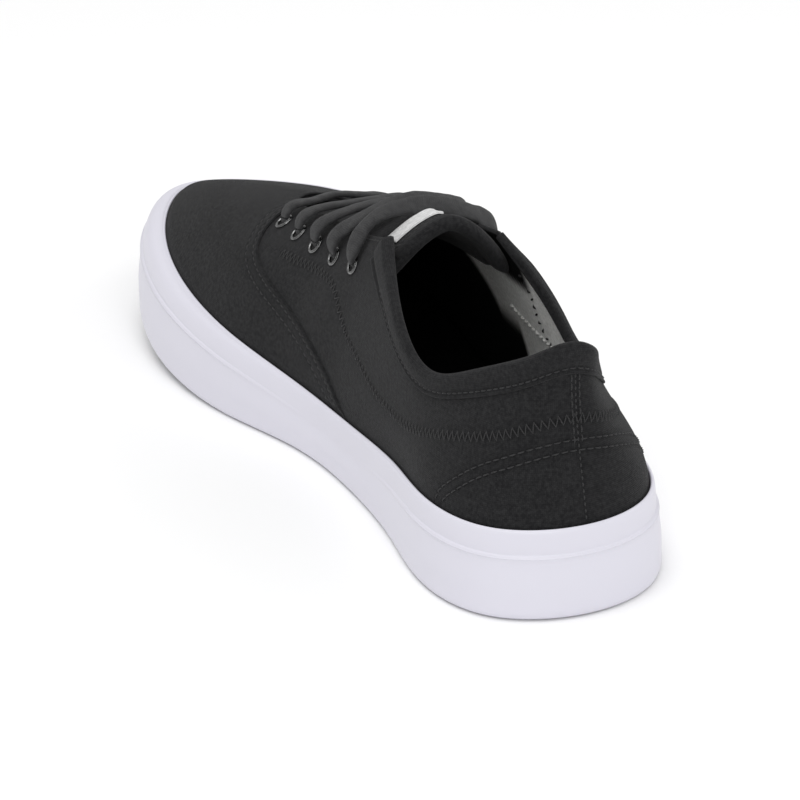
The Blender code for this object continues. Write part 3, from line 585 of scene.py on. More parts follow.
def tongue_place(along_shoe):
    """How far along the tongue its crown reaches a distance from the heel."""
    places = np.linspace(0, 1, 201)
    crown = tongue(places, 0.0)[:, 1]
    return np.interp(along_shoe, crown[::-1], places[::-1])


def eyelet_frames():
    """Centre and outward direction of each eyelet, medial ones first, from front to back."""
    frames = []
    along = np.linspace(EYELET_FIRST_SHARE, EYELET_LAST_SHARE, EYELET_COUNT) * LENGTH
    stations = np.linspace(CORNER_STATION, 8.5, 161)
    for side in ("medial", "lateral"):
        turn, up = eyestay_point(stations, side, EYELET_MARGIN)
        track = wall(turn, up)[:, 1]
        turn, up = eyestay_point(np.interp(along, track, stations), side, EYELET_MARGIN)
        frames += list(zip([side] * EYELET_COUNT, wall(turn, up), wall_normal(turn, up)))
    return frames


def seam_turns(up):
    """The turns of the two vamp seams at a share of the way up the wall."""
    knots = column(SEAM_COLUMNS, SEAM_ROWS, "up")
    medial = spline(knots, column(SEAM_COLUMNS, SEAM_ROWS, "station_m"), up)
    lateral = spline(knots, column(SEAM_COLUMNS, SEAM_ROWS, "station_l"), up)
    return medial / (2 * STATIONS), 1 - lateral / (2 * STATIONS)


def throat_edge_at(side, along_shoe):
    """The turn at which the throat's edge on one side reaches a distance from the heel."""
    station = np.linspace(CORNER_STATION, STATIONS - 1, 201)
    turn = station / (2 * STATIONS) if side == "medial" else 1 - station / (2 * STATIONS)
    return np.interp(along_shoe, opening(turn)[:, 1], turn)


def lace_guides(medial, lateral):
    """Points and outward directions of one bar's middle line, from its medial eyelet across."""
    half = LACE_THICKNESS / 2
    over_rim = EYELET_SEAT + EYELET_RIM + LACE_END_LIFT + half
    sides = []
    for side, centre, axis in (medial, lateral):
        edge_turn = throat_edge_at(side, centre[1])
        edge_axis = wall_normal(edge_turn, 1.0)
        edge = opening(edge_turn) + edge_axis * (half + LACE_LIFT)
        end = centre + axis * over_rim
        climb = edge - end - axis * np.dot(edge - end, axis)
        past_rim = end + unit(climb) * EYELET_OUTER / 2
        sides.append([(end, axis), (past_rim, axis), (edge, edge_axis)])
    along = tongue_place((medial[1][1] + lateral[1][1]) / 2)
    crown_axis = tongue_normal(along, 0.0)
    crown = tongue(along, 0.0) + crown_axis * (half + LACE_LIFT)
    crown[2] = max(crown[2], (sides[0][-1][0][2] + sides[1][-1][0][2]) / 2)
    guides = sides[0] + [(crown, crown_axis)] + sides[1][::-1]
    return np.array([point for point, _axis in guides]), np.array([axis for _point, axis in guides])


def place_piece(name, mesh, material):
    """Smooth a mesh, give it its material and put it in the scene, unmoved."""
    mesh.shade_smooth()
    mesh.materials.append(material)
    piece = bpy.data.objects.new(name, mesh)
    bpy.context.scene.collection.objects.link(piece)
    return piece


def surface(name, points, material, closed_rows=False, closed_columns=False, cloth=False, fields=None,
            caps=False, flip=False):
    """A mesh on a grid of points, rows by columns, closed either way if asked.

    cloth gives it a UV map in metres along and up. fields are named numbers, one for each point. caps
    fill the first and last rows.
    """
    rows, columns = points.shape[:2]
    row, place = np.meshgrid(np.arange(rows if closed_rows else rows - 1),
                             np.arange(columns if closed_columns else columns - 1), indexing="ij")
    row, place = row.ravel(), place.ravel()
    corner_rows = np.stack([row, row + 1, row + 1, row], axis=1)
    corner_places = np.stack([place, place, place + 1, place + 1], axis=1)
    faces = (corner_rows % rows) * columns + corner_places % columns
    if flip:
        faces = faces[:, ::-1]
        corner_rows, corner_places = corner_rows[:, ::-1], corner_places[:, ::-1]
    lists = faces.tolist()
    if caps:
        first = list(range(columns))
        last = [(rows - 1) * columns + corner for corner in first]
        lists += [first, last[::-1]] if not flip else [first[::-1], last]
    mesh = bpy.data.meshes.new(name)
    mesh.from_pydata((points.reshape(-1, 3) - ORIGIN).tolist(), [], lists)
    if cloth:
        uv = cloth_uv(points, closed_rows, closed_columns)
        layer = mesh.uv_layers.new(name="cloth")
        values = np.zeros((len(mesh.loops), 2), np.float32)
        values[:faces.size] = uv[corner_rows, corner_places].reshape(-1, 2)
        layer.data.foreach_set("uv", values.ravel())
    for field, numbers in (fields or {}).items():
        attribute = mesh.attributes.new(field, "FLOAT", "POINT")
        attribute.data.foreach_set("value", np.asarray(numbers, np.float32).ravel())
    return place_piece(name, mesh, material)


def cloth_uv(points, closed_rows, closed_columns):
    """Metres along the columns and up the rows of a grid, with one more of either where it closes."""
    full = points
    if closed_rows:
        full = np.concatenate([full, full[:1]], axis=0)
    if closed_columns:
        full = np.concatenate([full, full[:, :1]], axis=1)
    return np.stack([travelled(full, axis=1), travelled(full, axis=0)], axis=-1)


def weld(piece, fill=False, reach=2e-7):
    """Join points that fall together, and fill the open ends of a tube if asked."""
    shape = bmesh.new()
    shape.from_mesh(piece.data)
    bmesh.ops.remove_doubles(shape, verts=shape.verts, dist=reach)
    if fill:
        bmesh.ops.holes_fill(shape, edges=[edge for edge in shape.edges if edge.is_boundary], sides=0)
    shape.to_mesh(piece.data)
    shape.free()


def turn_outwards(piece):
    """Make a closed piece's faces point outwards."""
    shape = bmesh.new()
    shape.from_mesh(piece.data)
    bmesh.ops.recalc_face_normals(shape, faces=shape.faces)
    shape.to_mesh(piece.data)
    shape.free()


def dress(piece, slot, *nodes):
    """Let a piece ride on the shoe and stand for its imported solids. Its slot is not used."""
    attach(piece, "root")
    if nodes:
        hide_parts(*nodes)
    return piece


# Lines on the wall


def both_sides(rows):
    """Rows of one side up to the heel's middle, then the same ones going back on the other side."""
    return rows + tuple((-station, up) for station, up in rows[-2::-1])


def traced(rows, count):
    """A smooth line through (signed station, up) rows: turns and ups at even steps."""
    rows = np.array(rows)
    knots = np.arange(len(rows))
    line = spline(knots, rows, np.linspace(0, len(rows) - 1, count))
    return signed_turn(line[:, 0]), line[:, 1]


def left_of(turn, up, line):
    """Unit vectors in the wall's face that point to the left of a line, seen from outside."""
    return unit(np.cross(wall_normal(turn, up), unit(np.gradient(line, axis=0))))


def creased(turn, up):
    """Depth of the soft dents at a place on the wall: a sum of round bells, in metres."""
    station = signed_station(turn)
    depth = np.zeros(np.broadcast(station, up).shape)
    for middle, height, wide, tall, deep in CREASE_ROWS:
        dent = np.exp(-((station - middle) / wide) ** 2 - ((up - height) / tall) ** 2)
        depth = depth + deep * MILLIMETRE * dent
    return depth * ease(up / 0.12) * ease((0.97 - up) / 0.15)


def collar_drops(turn):
    """How far below the wall's edge the collar's canvas ends, in metres: medial and lateral parts.

    A bell of station on the medial side, and a narrow and a wide one on the lateral side, where the
    collar falls away behind the eyestay.
    """
    station = signed_station(turn)
    medial = MEDIAL_DROP * bell(station, 2.9, 0.9)
    behind_eyestay = EYESTAY_DROP * bell(station, -3.55, 0.45)
    return medial, behind_eyestay + LATERAL_DROP * bell(station, -2.4, 1.0)


def skin(turn, up, lift=0.0):
    """The canvas's outer face: the wall with its soft dents, lifted along the normal."""
    lift = np.asarray(lift, float)
    raise_by = lift - creased(turn, up)
    return wall(turn, up) + wall_normal(turn, up) * raise_by[..., None]


def beside(turn, up, distance):
    """A line on the wall kept at a distance from another: to its left seen from outside, going on.

    Each point is moved square to the line in the wall's face, then brought back to the wall by
    solving its turn and up for the nearest place, four times over.
    """
    start = wall(turn, up)
    target = start + left_of(turn, up, start) * distance
    step = 1e-4
    for _pass in range(4):
        here = wall(turn, up)
        by_turn = (wall(turn + step, up) - wall(turn - step, up)) / (2 * step)
        by_up = (wall(turn, up + step) - wall(turn, up - step)) / (2 * step)
        miss = target - here
        tt, uu, tu = (by_turn * by_turn).sum(-1), (by_up * by_up).sum(-1), (by_turn * by_up).sum(-1)
        mt, mu = (miss * by_turn).sum(-1), (miss * by_up).sum(-1)
        scale = tt * uu - tu * tu
        turn = turn + (mt * uu - mu * tu) / scale
        up = up + (mu * tt - mt * tu) / scale
    return turn, up


def signed_distance(points, line, left):
    """Distance of grid points from a line of points, positive on its left, worked out in blocks."""
    flat = points.reshape(-1, 3)
    answer = np.empty(len(flat))
    for start in range(0, len(flat), 8192):
        block = flat[start:start + 8192]
        gap = ((block[:, None] - line[None]) ** 2).sum(-1)
        nearest = gap.argmin(axis=1)
        side = ((block - line[nearest]) * left[nearest]).sum(-1)
        answer[start:start + 8192] = np.sqrt(gap[np.arange(len(block)), nearest]) * np.sign(side)
    return answer.reshape(points.shape[:-1])


# Stitches


def stitches(name, line, normal, material, pitch, length, thick=THREAD, zigzag=0.0):
    """A row of thread stitches along a line of points.

    Each stitch is a short bar of thread: its middle stands over the cloth by a sine arch and its ends
    go down into the needle holes. A zigzag row swings each stitch from side to side.
    """
    reach = travelled(line)
    count = int((reach[-1] - length) / pitch) + 1
    sections, sides = 5, 6
    share = np.linspace(0, 1, sections)
    at = np.arange(count)[:, None] * pitch + share * length
    centre = np.stack([np.interp(at, reach, line[:, axis]) for axis in range(3)], axis=-1)
    out = unit(np.stack([np.interp(at, reach, normal[:, axis]) for axis in range(3)], axis=-1))
    tangent = unit(np.gradient(centre, axis=1))
    across = unit(np.cross(out, tangent))
    if zigzag:
        swing = (share - 0.5) * 2 * zigzag
        way = np.where(np.arange(count) % 2, -1.0, 1.0)[:, None]
        centre = centre + across * (swing * way)[..., None]
        tangent = unit(np.gradient(centre, axis=1))
        across = unit(np.cross(out, tangent))
    arch = np.sin(np.pi * share)
    centre = centre + out * ((arch * 0.62 - 0.42) * thick)[:, None]
    girth = thick / 2 * (0.62 + 0.38 * arch)
    angle = circle_angles(sides)
    ring = (across[:, :, None] * np.cos(angle)[:, None] + out[:, :, None] * np.sin(angle)[:, None])
    points = centre[:, :, None] + ring * girth[:, None, None]
    base = (np.arange(count) * sections * sides)[:, None, None]
    section, side = np.meshgrid(np.arange(sections - 1), np.arange(sides), indexing="ij")
    low, after = section * sides + side, section * sides + (side + 1) % sides
    quad = np.stack([low, after, after + sides, low + sides], axis=-1).reshape(1, -1, 4)
    faces = (base + quad).reshape(-1, 4).tolist()
    ends = np.arange(sides)
    first = (base[:, 0] + ends[::-1]).tolist()
    last = (base[:, 0] + (sections - 1) * sides + ends).tolist()
    mesh = bpy.data.meshes.new(name)
    mesh.from_pydata((points.reshape(-1, 3) - ORIGIN).tolist(), [], faces + first + last)
    return dress(place_piece(name, mesh, material), "black_canvas")


def wall_stitches(name, turn, up, lift, material, stitch):
    """A row of stitches on the canvas along a line of turns and ups."""
    return stitches(name, skin(turn, up, lift), wall_normal(turn, up), material, **stitch)


def lining_stitches(name, rows, count, material, stitch):
    """A row of stitches on the lining, along a smooth line through its rows."""
    turn, up = traced(rows, count)
    return stitches(name, skin(turn, up, -WALL - ROW_LIFT), -wall_normal(turn, up), material, **stitch)


# Materials


class Board:
    """A small helper that adds nodes to a tree and joins them."""

    def __init__(self, tree):
        self.tree = tree

    def fill(self, node, values):
        """Link each socket whose value is a socket, and set the others."""
        for key, value in values.items():
            socket = node.inputs[key]
            if isinstance(value, bpy.types.NodeSocket):
                self.tree.links.new(value, socket)
            elif socket.type == "RGBA":
                socket.default_value = (*value[:3], 1.0)
            else:
                socket.default_value = value

    def add(self, kind, values=None, **settings):
        """A node with its settings and its socket values."""
        node = self.tree.nodes.new(kind)
        for key, value in settings.items():
            setattr(node, key, value)
        self.fill(node, values or {})
        return node

    def math(self, operation, first, second=0.0, third=0.0, clamp=False):
        """A number worked out from two or three others."""
        return self.add("ShaderNodeMath", {0: first, 1: second, 2: third}, operation=operation,
                        use_clamp=clamp).outputs[0]

    def blend(self, factor, first, second):
        """A colour between two others."""
        return self.add("ShaderNodeMix", {0: factor, 6: first, 7: second}, data_type="RGBA").outputs[2]

    def place(self):
        """Object coordinates."""
        return self.add("ShaderNodeTexCoord").outputs["Object"]

    def attribute(self, name):
        """A number kept on the points of the mesh."""
        return self.add("ShaderNodeAttribute", attribute_name=name).outputs["Fac"]

    def noise(self, place, scale, detail=2.0, rough=0.5):
        """Cloudy noise from 0 to 1."""
        return self.add("ShaderNodeTexNoise", {"Vector": place, "Scale": scale, "Detail": detail,
                                               "Roughness": rough}).outputs[0]

    def bump(self, height, strength=1.0):
        """The normal, tilted by a height in metres."""
        return self.add("ShaderNodeBump", {"Height": height, "Distance": 1.0,
                                           "Strength": strength}).outputs[0]


def node_group(name, inputs, outputs):
    """A new shader node group with named inputs and outputs, and the board to fill it."""
    group = bpy.data.node_groups.new(name, "ShaderNodeTree")
    for socket, kind, value in inputs:
        made = group.interface.new_socket(socket, in_out="INPUT", socket_type=kind)
        if value is not None:
            made.default_value = value
    for socket in outputs:
        group.interface.new_socket(socket, in_out="OUTPUT", socket_type="NodeSocketFloat")
    board = Board(group)
    return group, board, board.add("NodeGroupInput"), board.add("NodeGroupOutput")


def make_weave_group():
    """Plain weave: the product of two sines makes a chequer of thread crowns, warp and weft by turns.

    Height is the crown of each thread, Thread is 1 on warp and 0 on weft, and Slub is a slow streaky
    noise along both threads.
    """
    group, board, given, result = node_group(
        "plain_weave",
        [("Cloth", "NodeSocketVector", None), ("Pitch", "NodeSocketFloat", WEAVE_PITCH)],
        ("Height", "Thread", "Slub"))
    parts = board.add("ShaderNodeSeparateXYZ", {0: given.outputs[0]})
    waves = []
    for axis in (0, 1):
        turns = board.math("DIVIDE", parts.outputs[axis], given.outputs[1])
        waves.append(board.math("SINE", board.math("MULTIPLY", turns, math.pi)))
    product = board.math("MULTIPLY", waves[0], waves[1])
    streaks = []
    for stretch in ((1.0, 0.10, 1.0), (0.10, 1.0, 1.0)):
        mapping = board.add("ShaderNodeMapping", {"Vector": given.outputs[0], "Scale": stretch})
        streaks.append(board.noise(mapping.outputs[0], 1500.0, 1.0))
    board.fill(result, {
        "Height": board.math("POWER", board.math("ABSOLUTE", product), 0.6),
        "Thread": board.math("GREATER_THAN", product, 0.0),
        "Slub": board.math("MULTIPLY", board.math("ADD", streaks[0], streaks[1]), 0.5)})
    return group


def make_groove_group():
    """How deep a stitched row pulls the cloth in: one over one more than the square of the distance.

    The distance is the signed one less the row's offset, as a share of the groove's width.
    """
    group, board, given, result = node_group(
        "stitched_groove",
        [("Distance", "NodeSocketFloat", 0.0), ("Offset", "NodeSocketFloat", 0.0),
         ("Width", "NodeSocketFloat", 0.0008)],
        ("Depth",))
    shifted = board.math("SUBTRACT", given.outputs[0], given.outputs[1])
    share = board.math("DIVIDE", shifted, given.outputs[2])
    square = board.math("MULTIPLY", share, share)
    board.fill(result, {"Depth": board.math("DIVIDE", 1.0, board.math("ADD", square, 1.0))})
    return group


def start_material(name, roughness, metallic=0.0):
    """An empty material: its board, its shader and the material itself."""
    material = bpy.data.materials.new(name)
    material.use_nodes = True
    shader = material.node_tree.nodes["Principled BSDF"]
    board = Board(material.node_tree)
    board.fill(shader, {"Roughness": roughness, "Metallic": metallic})
    return material, board, shader


def darker(colour, share):
    """A share of a colour's light."""
    return tuple(share * part for part in colour)


def make_canvas(name, weave, groove, dark, light, grooves=(), fade=None, sheen=0.05, shade=0.45,
                gloss=0.14):
    """Canvas with its weave, heathered threads, stitched grooves and a little fuzz.

    grooves are (attribute, offset, width) of the rows that pull the cloth in, with painted shade
    darkening each groove. fade is a second colour, painted shade, and the attribute by which the cloth
    comes out of it. shade is the painted shade that darkens the gaps between the threads.
    """
    material, board, shader = start_material(name, 0.86)
    cloth = board.add("ShaderNodeUVMap", uv_map="cloth").outputs[0]
    woven = board.add("ShaderNodeGroup", {"Cloth": cloth}, node_tree=weave).outputs
    place = board.place()
    cloudy = board.noise(place, 28.0, 3.0)
    fleck = board.noise(place, 900.0, 3.0)
    tone = board.math("MULTIPLY_ADD", woven["Slub"], 1.2, -0.60)
    tone = board.math("MULTIPLY_ADD", woven["Thread"], 0.12, tone)
    tone = board.math("MULTIPLY_ADD", cloudy, 0.30, tone)
    tone = board.math("MULTIPLY_ADD", fleck, 2.6, board.math("SUBTRACT", tone, 1.02), clamp=True)
    # Painted shade: the gaps between the threads are darkened towards a share of the dark colour.
    colour = board.blend(board.math("MULTIPLY_ADD", woven["Height"], -shade, shade),
                         board.blend(tone, dark, light), darker(dark, 0.35))
    height = board.math("MULTIPLY", woven["Height"], 0.00009)
    height = board.math("MULTIPLY_ADD", woven["Slub"], 0.00010, height)
    height = board.math("MULTIPLY_ADD", cloudy, 0.0005, height)
    for attribute, offset, width in grooves:
        pulled = board.add("ShaderNodeGroup", {"Distance": board.attribute(attribute), "Offset": offset,
                                               "Width": width}, node_tree=groove).outputs[0]
        height = board.math("MULTIPLY_ADD", pulled, -0.00028, height)
        # Painted shade: the cloth is darkened in each stitched groove as well as pulled in.
        colour = board.blend(board.math("MULTIPLY", pulled, 0.35), colour, darker(dark, 0.4))
    # Painted shade: the cloth fades to the second colour where the attribute is low, so the lining goes
    # black deep in the shoe.
    if fade:
        far, attribute = fade
        colour = board.blend(board.attribute(attribute), far, colour)
    board.fill(shader, {"Base Color": colour, "Normal": board.bump(height, 0.9), "Sheen Weight": sheen,
                        "Sheen Roughness": 0.45, "Specular IOR Level": gloss})
    return material


def make_rubber(name, colour, shadow, rough=0.42, marks=0.25):
    """Moulded rubber: even colour with faint clouds, small pits and rubbed spots, and a soft gloss."""
    material, board, shader = start_material(name, rough)
    place = board.place()
    cloudy = board.noise(place, 16.0, 4.0)
    pits = board.noise(place, 1400.0, 2.0)
    spots = board.math("MULTIPLY_ADD", board.noise(place, 110.0, 5.0, 0.7), 5.0, -3.1, clamp=True)
    tone = board.math("MULTIPLY_ADD", cloudy, 0.5, board.math("MULTIPLY", spots, marks), clamp=True)
    height = board.math("MULTIPLY_ADD", pits, 0.000012, board.math("MULTIPLY", cloudy, 0.00025))
    board.fill(shader, {"Base Color": board.blend(board.math("MULTIPLY", tone, 0.5), colour, shadow),
                        "Roughness": board.math("MULTIPLY_ADD", cloudy, 0.14, rough - 0.07),
                        "Normal": board.bump(height, 0.8), "Coat Weight": 0.08,
                        "Coat Roughness": 0.35})
    return material


def make_thread(name, colour):
    """Twisted thread: fine diagonal bands on a slightly glossy fibre."""
    material, board, shader = start_material(name, 0.55)
    twist = board.add("ShaderNodeTexWave", {"Vector": board.place(), "Scale": 900.0,
                                            "Distortion": 2.0},
                      bands_direction="DIAGONAL").outputs["Fac"]
    # Painted shade: the colour darkens in the dips of the twist.
    board.fill(shader, {"Base Color": board.blend(twist, darker(colour, 0.6), colour),
                        "Normal": board.bump(board.math("MULTIPLY", twist, 0.00006)),
                        "Specular IOR Level": 0.2})
    return material


def make_lace_cloth(name, dark, light):
    """Tubular braid: two sets of slanting threads that cross, from sines along and round the lace."""
    material, board, shader = start_material(name, 0.8)
    cloth = board.add("ShaderNodeUVMap", uv_map="cloth").outputs[0]
    parts = board.add("ShaderNodeSeparateXYZ", {0: cloth})
    waves = []
    for way in (1.0, -1.0):
        slant = board.math("MULTIPLY_ADD", parts.outputs[0], way, parts.outputs[1])
        waves.append(board.math("SINE", board.math("MULTIPLY", slant, math.pi / BRAID_PITCH)))
    product = board.math("MULTIPLY", waves[0], waves[1])
    crown = board.math("POWER", board.math("ABSOLUTE", product), 0.7)
    fluff = board.noise(board.place(), 620.0, 3.0)
    # Painted shade: the lace is lighter on the braid's crowns and darker between the threads, with
    # random fluff.
    tone = board.math("MULTIPLY_ADD", crown, 0.45, board.math("MULTIPLY_ADD", fluff, 1.5, -0.50),
                      clamp=True)
    height = board.math("MULTIPLY_ADD", fluff, 0.0001, board.math("MULTIPLY", crown, 0.00014))
    board.fill(shader, {"Base Color": board.blend(tone, dark, light),
                        "Normal": board.bump(height, 0.9), "Sheen Weight": 0.08,
                        "Sheen Roughness": 0.4})
    return material


def make_eyelet_metal():
    """Dark plated metal with fine rubbed marks."""
    material, board, shader = start_material("dark_eyelet_metal", 0.25, 1.0)
    rubbed = board.noise(board.place(), 900.0, 4.0)
    board.fill(shader, {"Base Color": board.blend(rubbed, (0.06, 0.06, 0.06), (0.30, 0.30, 0.30)),
                        "Roughness": board.math("MULTIPLY_ADD", rubbed, 0.25, 0.12)})
    return material


# Pieces


def make_foxing_piece(material):
    """The sole's wall: a section of smooth arcs carried round the footprint.

    Outside, the inset eases from the hem to the belly, leans in to the low step, crosses it by a
    smooth step with a fine line under it, and rolls over the lip. Inside, it runs down beside the slab.
    """
    turn = np.arange(FOXING_COLUMNS) / FOXING_COLUMNS
    rim = rim_height(turn)[:, None]
    inset = rim_inset(turn)[:, None]
    ledge = np.clip(outline_column("ledge", turn), 0, 1)[:, None]
    low = FOXING_FLOOR_GAP
    step_height = rim - LEDGE_DROP
    step_low = LEDGE_SET_IN + LEDGE_LEAN * inset
    step_high = step_low + LEDGE_STEP * ledge
    hem = np.linspace(0, 1, 9)[None]
    hem_inset = FOXING_HEM * (1 - np.sin(hem * np.pi / 2))
    hem_height = low + FOXING_HEM_HEIGHT * (1 - np.cos(hem * np.pi / 2))
    belly = np.linspace(0, 1, 13)[None, 1:]
    belly_height = hem_height[:, -1:] + (step_height - LEDGE_RUN - hem_height[:, -1:]) * belly
    belly_inset = step_low * ease((belly - 0.35) / 0.65)
    step = np.linspace(0, 1, 10)[None, 1:]
    line = LEDGE_LINE * ledge * bell(step, 0.30, 0.10) - LEDGE_RIDGE * ledge * bell(step, 0.10, 0.10)
    step_inset = step_low + LEDGE_STEP * ledge * ease((step - 0.25) / 0.6) + line
    step_height_at = step_height - LEDGE_RUN + 2 * LEDGE_RUN * step
    slope = np.linspace(0, 1, 13)[None, 1:]
    slope_start = step_height + LEDGE_RUN
    slope_end = rim - LIP_START
    slope_height = slope_start + (slope_end - slope_start) * np.sin(slope * np.pi / 2)
    slope_run = inset - LIP_WIDTH - step_high
    slope_inset = step_high + slope_run * (0.35 * slope + 0.65 * slope ** 2.6)
    lip = np.linspace(0, 1, 8)[None, 1:]
    lip_inset = inset - LIP_WIDTH + LIP_WIDTH * (1 - np.cos(lip * np.pi)) / 2
    lip_height = slope_end + LIP_ROLL * np.sin(lip * np.pi) - LIP_FALL * lip
    inner = np.linspace(0, 1, 9)[None, 1:]
    inner_height = lip_height[:, -1:] + (low - lip_height[:, -1:]) * inner
    inner_inset = lasting_inset(turn[:, None], inner_height)
    wide = np.ones_like(rim)
    insets = np.concatenate([hem_inset * wide, belly_inset, step_inset, slope_inset, lip_inset,
                             inner_inset], axis=1)
    heights = np.concatenate([hem_height * wide, belly_height, step_height_at, slope_height, lip_height,
                              inner_height], axis=1)
    turns = np.broadcast_to(turn[:, None], insets.shape)
    points = side_point(turns, insets, heights)
    piece = surface("foxing_wall", np.swapaxes(points, 0, 1), material, closed_rows=True,
                    closed_columns=True)
    return dress(piece, "white_rubber", "foxing")


def painted_lining_shade_mask(points):
    """How much of the lining's grey shows at each point: grey over a level line, and black below it,
    painted shade deep in the shoe.

    The line rises towards the instep and drops away at the heel, and the lining goes over it by a
    smooth step. Behind the tongue it goes dark as well, where two smooth steps multiply.
    """
    along, height = points[..., 1], points[..., 2]
    level = LINING_SHADE_LEVEL + 1.1 * np.maximum(along - 0.137, 0) - 2.2 * np.maximum(0.121 - along, 0)
    dark_behind_tongue = ease((along - 0.0985) / 0.005) * ease((height - 0.060) / 0.004)
    return ease((height - np.maximum(level, 0.020)) / (2 * LINING_SHADE_SOFT) + 0.5) * (1 - dark_behind_tongue)


def foot_rows(turn, shares, depth):
    """Rows of the upper's foot between the slab and the rim, at a depth from the sole's inner face."""
    low = slab_height(footprint(turn)[:, 1]) + FOOT_GAP
    height = low + (rim_height(turn) - low) * shares[:, None]
    turns = np.broadcast_to(turn, height.shape)
    return side_point(turns, lasting_inset(turns, height) + depth, height)


def folded_edge(middle, normal, climb, half):
    """Rows of a half circle that goes from the outer face over a folded edge to the inner one."""
    bend = np.linspace(0, np.pi, 7)[1:-1, None, None]
    return middle + normal * half * np.cos(bend) + climb * half * np.sin(bend)


def row_distance(points, rows, count):
    """Signed distance of grid points from a row of stitches on the wall."""
    turn, up = traced(both_sides(rows), count)
    line = wall(turn, up)
    return signed_distance(points, line, left_of(turn, up, line))


def make_shell(canvas, lining):
    """The canvas body and its lining as one wall.

    Each column goes from the foot inside the foxing up the outer face, round the folded top edge by a
    half circle, and down the inner face to the sockliner.
    """
    turn = np.arange(SHELL_COLUMNS) / SHELL_COLUMNS
    shares = np.linspace(0, 1, FOOT_ROWS)
    feet = foot_rows(turn, shares[:-1], LASTING_GAP)
    ups = np.linspace(0, 1, SHELL_ROWS)[:, None]
    rows = np.broadcast_to(turn, (SHELL_ROWS, SHELL_COLUMNS))
    top_gap = (WALL / 2 + sum(collar_drops(turn))) / wall_length(turn)
    outer = skin(rows, ups * (1 - top_gap))
    normal = wall_normal(turn, 1.0 - top_gap)
    climb = unit(wall(turn, 1.0) - wall(turn, 1.0 - 2 * top_gap))
    fold = folded_edge(wall(turn, 1.0 - top_gap) - normal * WALL / 2, normal, climb, WALL / 2)
    up_inner = np.linspace(1, 0, LINING_ROWS)[:, None] * (1 - top_gap)
    inner = skin(np.broadcast_to(turn, up_inner.shape), up_inner, -WALL)
    down = foot_rows(turn, shares[-2::-1], LASTING_GAP + WALL)
    points = np.concatenate([feet, outer, fold, inner, down])
    fields = {name: np.ones(points.shape[:2]) for name in ("zigzag_row", "counter_row", "back_seam")}
    outer_rows = slice(len(feet), len(feet) + SHELL_ROWS)
    fields["zigzag_row"][outer_rows] = row_distance(outer, ZIGZAG_ROWS, 420)
    fields["counter_row"][outer_rows] = row_distance(outer, COUNTER_ROWS, 300)
    near = (turn < 0.1) | (turn > 0.9)
    fields["back_seam"][outer_rows] = np.where(near, outer[..., 0] - outer[:, :1, 0], 1.0)
    # Painted shade: how much of the lining's pale grey shows, black deep in the shoe.
    fields["lining_painted_shade_mix"] = painted_lining_shade_mask(points)
    piece = surface("quarter_canvas", points, canvas, closed_rows=True, closed_columns=True, cloth=True,
                    fields=fields)
    piece.data.materials.append(lining)
    row = np.repeat(np.arange(len(points)), SHELL_COLUMNS)
    inside = (row >= len(feet) + SHELL_ROWS + len(fold) - 1).astype(np.int32)
    piece.data.polygons.foreach_set("material_index", inside)
    return dress(piece, "black_canvas", "upper")


def row_places(turns, gaps):
    """Turns along one level line of the vamp: close together near both seams, even between them."""
    level = wall(turns[:, 0], turns[:, 1])
    reach = travelled(level)
    total = reach[-1]
    spare = np.linspace(gaps[-1], total - gaps[-1], VAMP_COLUMNS - 2 * len(gaps) + 2)[1:-1]
    wanted = np.concatenate([gaps, spare, total - gaps[::-1]])
    return np.interp(wanted, reach, turns[:, 0])


def seam_line(side, count=1400):
    """One vamp seam on the wall, from the rim to the throat, with its level left direction."""
    ups = np.linspace(0, 1, count)
    turn = seam_turns(ups)[0 if side == "medial" else 1]
    line = wall(turn, ups)
    return line, left_of(turn, ups, line)


def make_vamp(canvas):
    """The vamp laid over the quarters, from one curved seam over the toe to the other.

    The outer face is the wall lifted by the cloth's thickness, which a quarter circle brings down at
    the seams. It folds over at the throat and comes back just above the canvas below it.
    """
    ups = np.linspace(0, 1, 96)
    gaps = np.array([0, 0.04, 0.1, 0.18, 0.28, 0.4, 0.52, 0.7, 1.0, 1.5, 2.1, 2.8, 3.6, 4.4, 5.2, 6.0,
                     7.0, 8.2]) * MILLIMETRE
    ends = seam_turns(ups)
    turn = np.array([row_places(np.stack([np.linspace(first, last, 240), np.full(240, level)], axis=1),
                                gaps) for first, last, level in zip(*ends, ups)])
    up = np.broadcast_to(ups[:, None], turn.shape)
    flat = wall(turn, up)
    gap = np.minimum(np.abs(signed_distance(flat, *seam_line("medial"))),
                     np.abs(signed_distance(flat, *seam_line("lateral"))))
    gap[:, [0, -1]] = 0.0
    puff = VAMP_PUFF * np.sin(np.pi * np.clip((gap - 0.0015) / 0.0035, 0, 1)) ** 2
    foot_fade = 0.15 + 0.85 * ease(ups / 0.05)[:, None]
    thick = (VAMP_CLOTH - VAMP_UNDER) * quarter_round(gap / VAMP_EDGE_RUN) + puff
    lift = VAMP_UNDER + thick * foot_fade
    outer = skin(turn, up, lift)
    last = turn[-1]
    climb = unit(wall(last, 1.0) - wall(last, 1.0 - MILLIMETRE / wall_length(last)))
    normal = wall_normal(last, 1.0)
    half = ((lift[-1] - VAMP_UNDER) / 2)[:, None]
    fold = folded_edge(skin(last, 1.0, VAMP_UNDER) + normal * half, normal, climb, half)
    under = skin(turn, up, VAMP_UNDER)[::-1]
    height = rim_height(turn[0]) - VAMP_FOOT_DROP
    feet = [side_point(turn[0], lasting_inset(turn[0], height) + LASTING_GAP + shift, height)
            for shift in (-0.0002, 0.0)]
    points = np.concatenate([feet[:1], outer, fold, under, feet[1:]])
    seam = np.concatenate([gap[:1], gap, np.ones((len(fold) + len(under) + 1, turn.shape[1]))])
    piece = surface("vamp_canvas", points, canvas, closed_rows=True, cloth=True,
                    fields={"seam_row": seam})
    weld(piece)
    return dress(piece, "black_canvas")


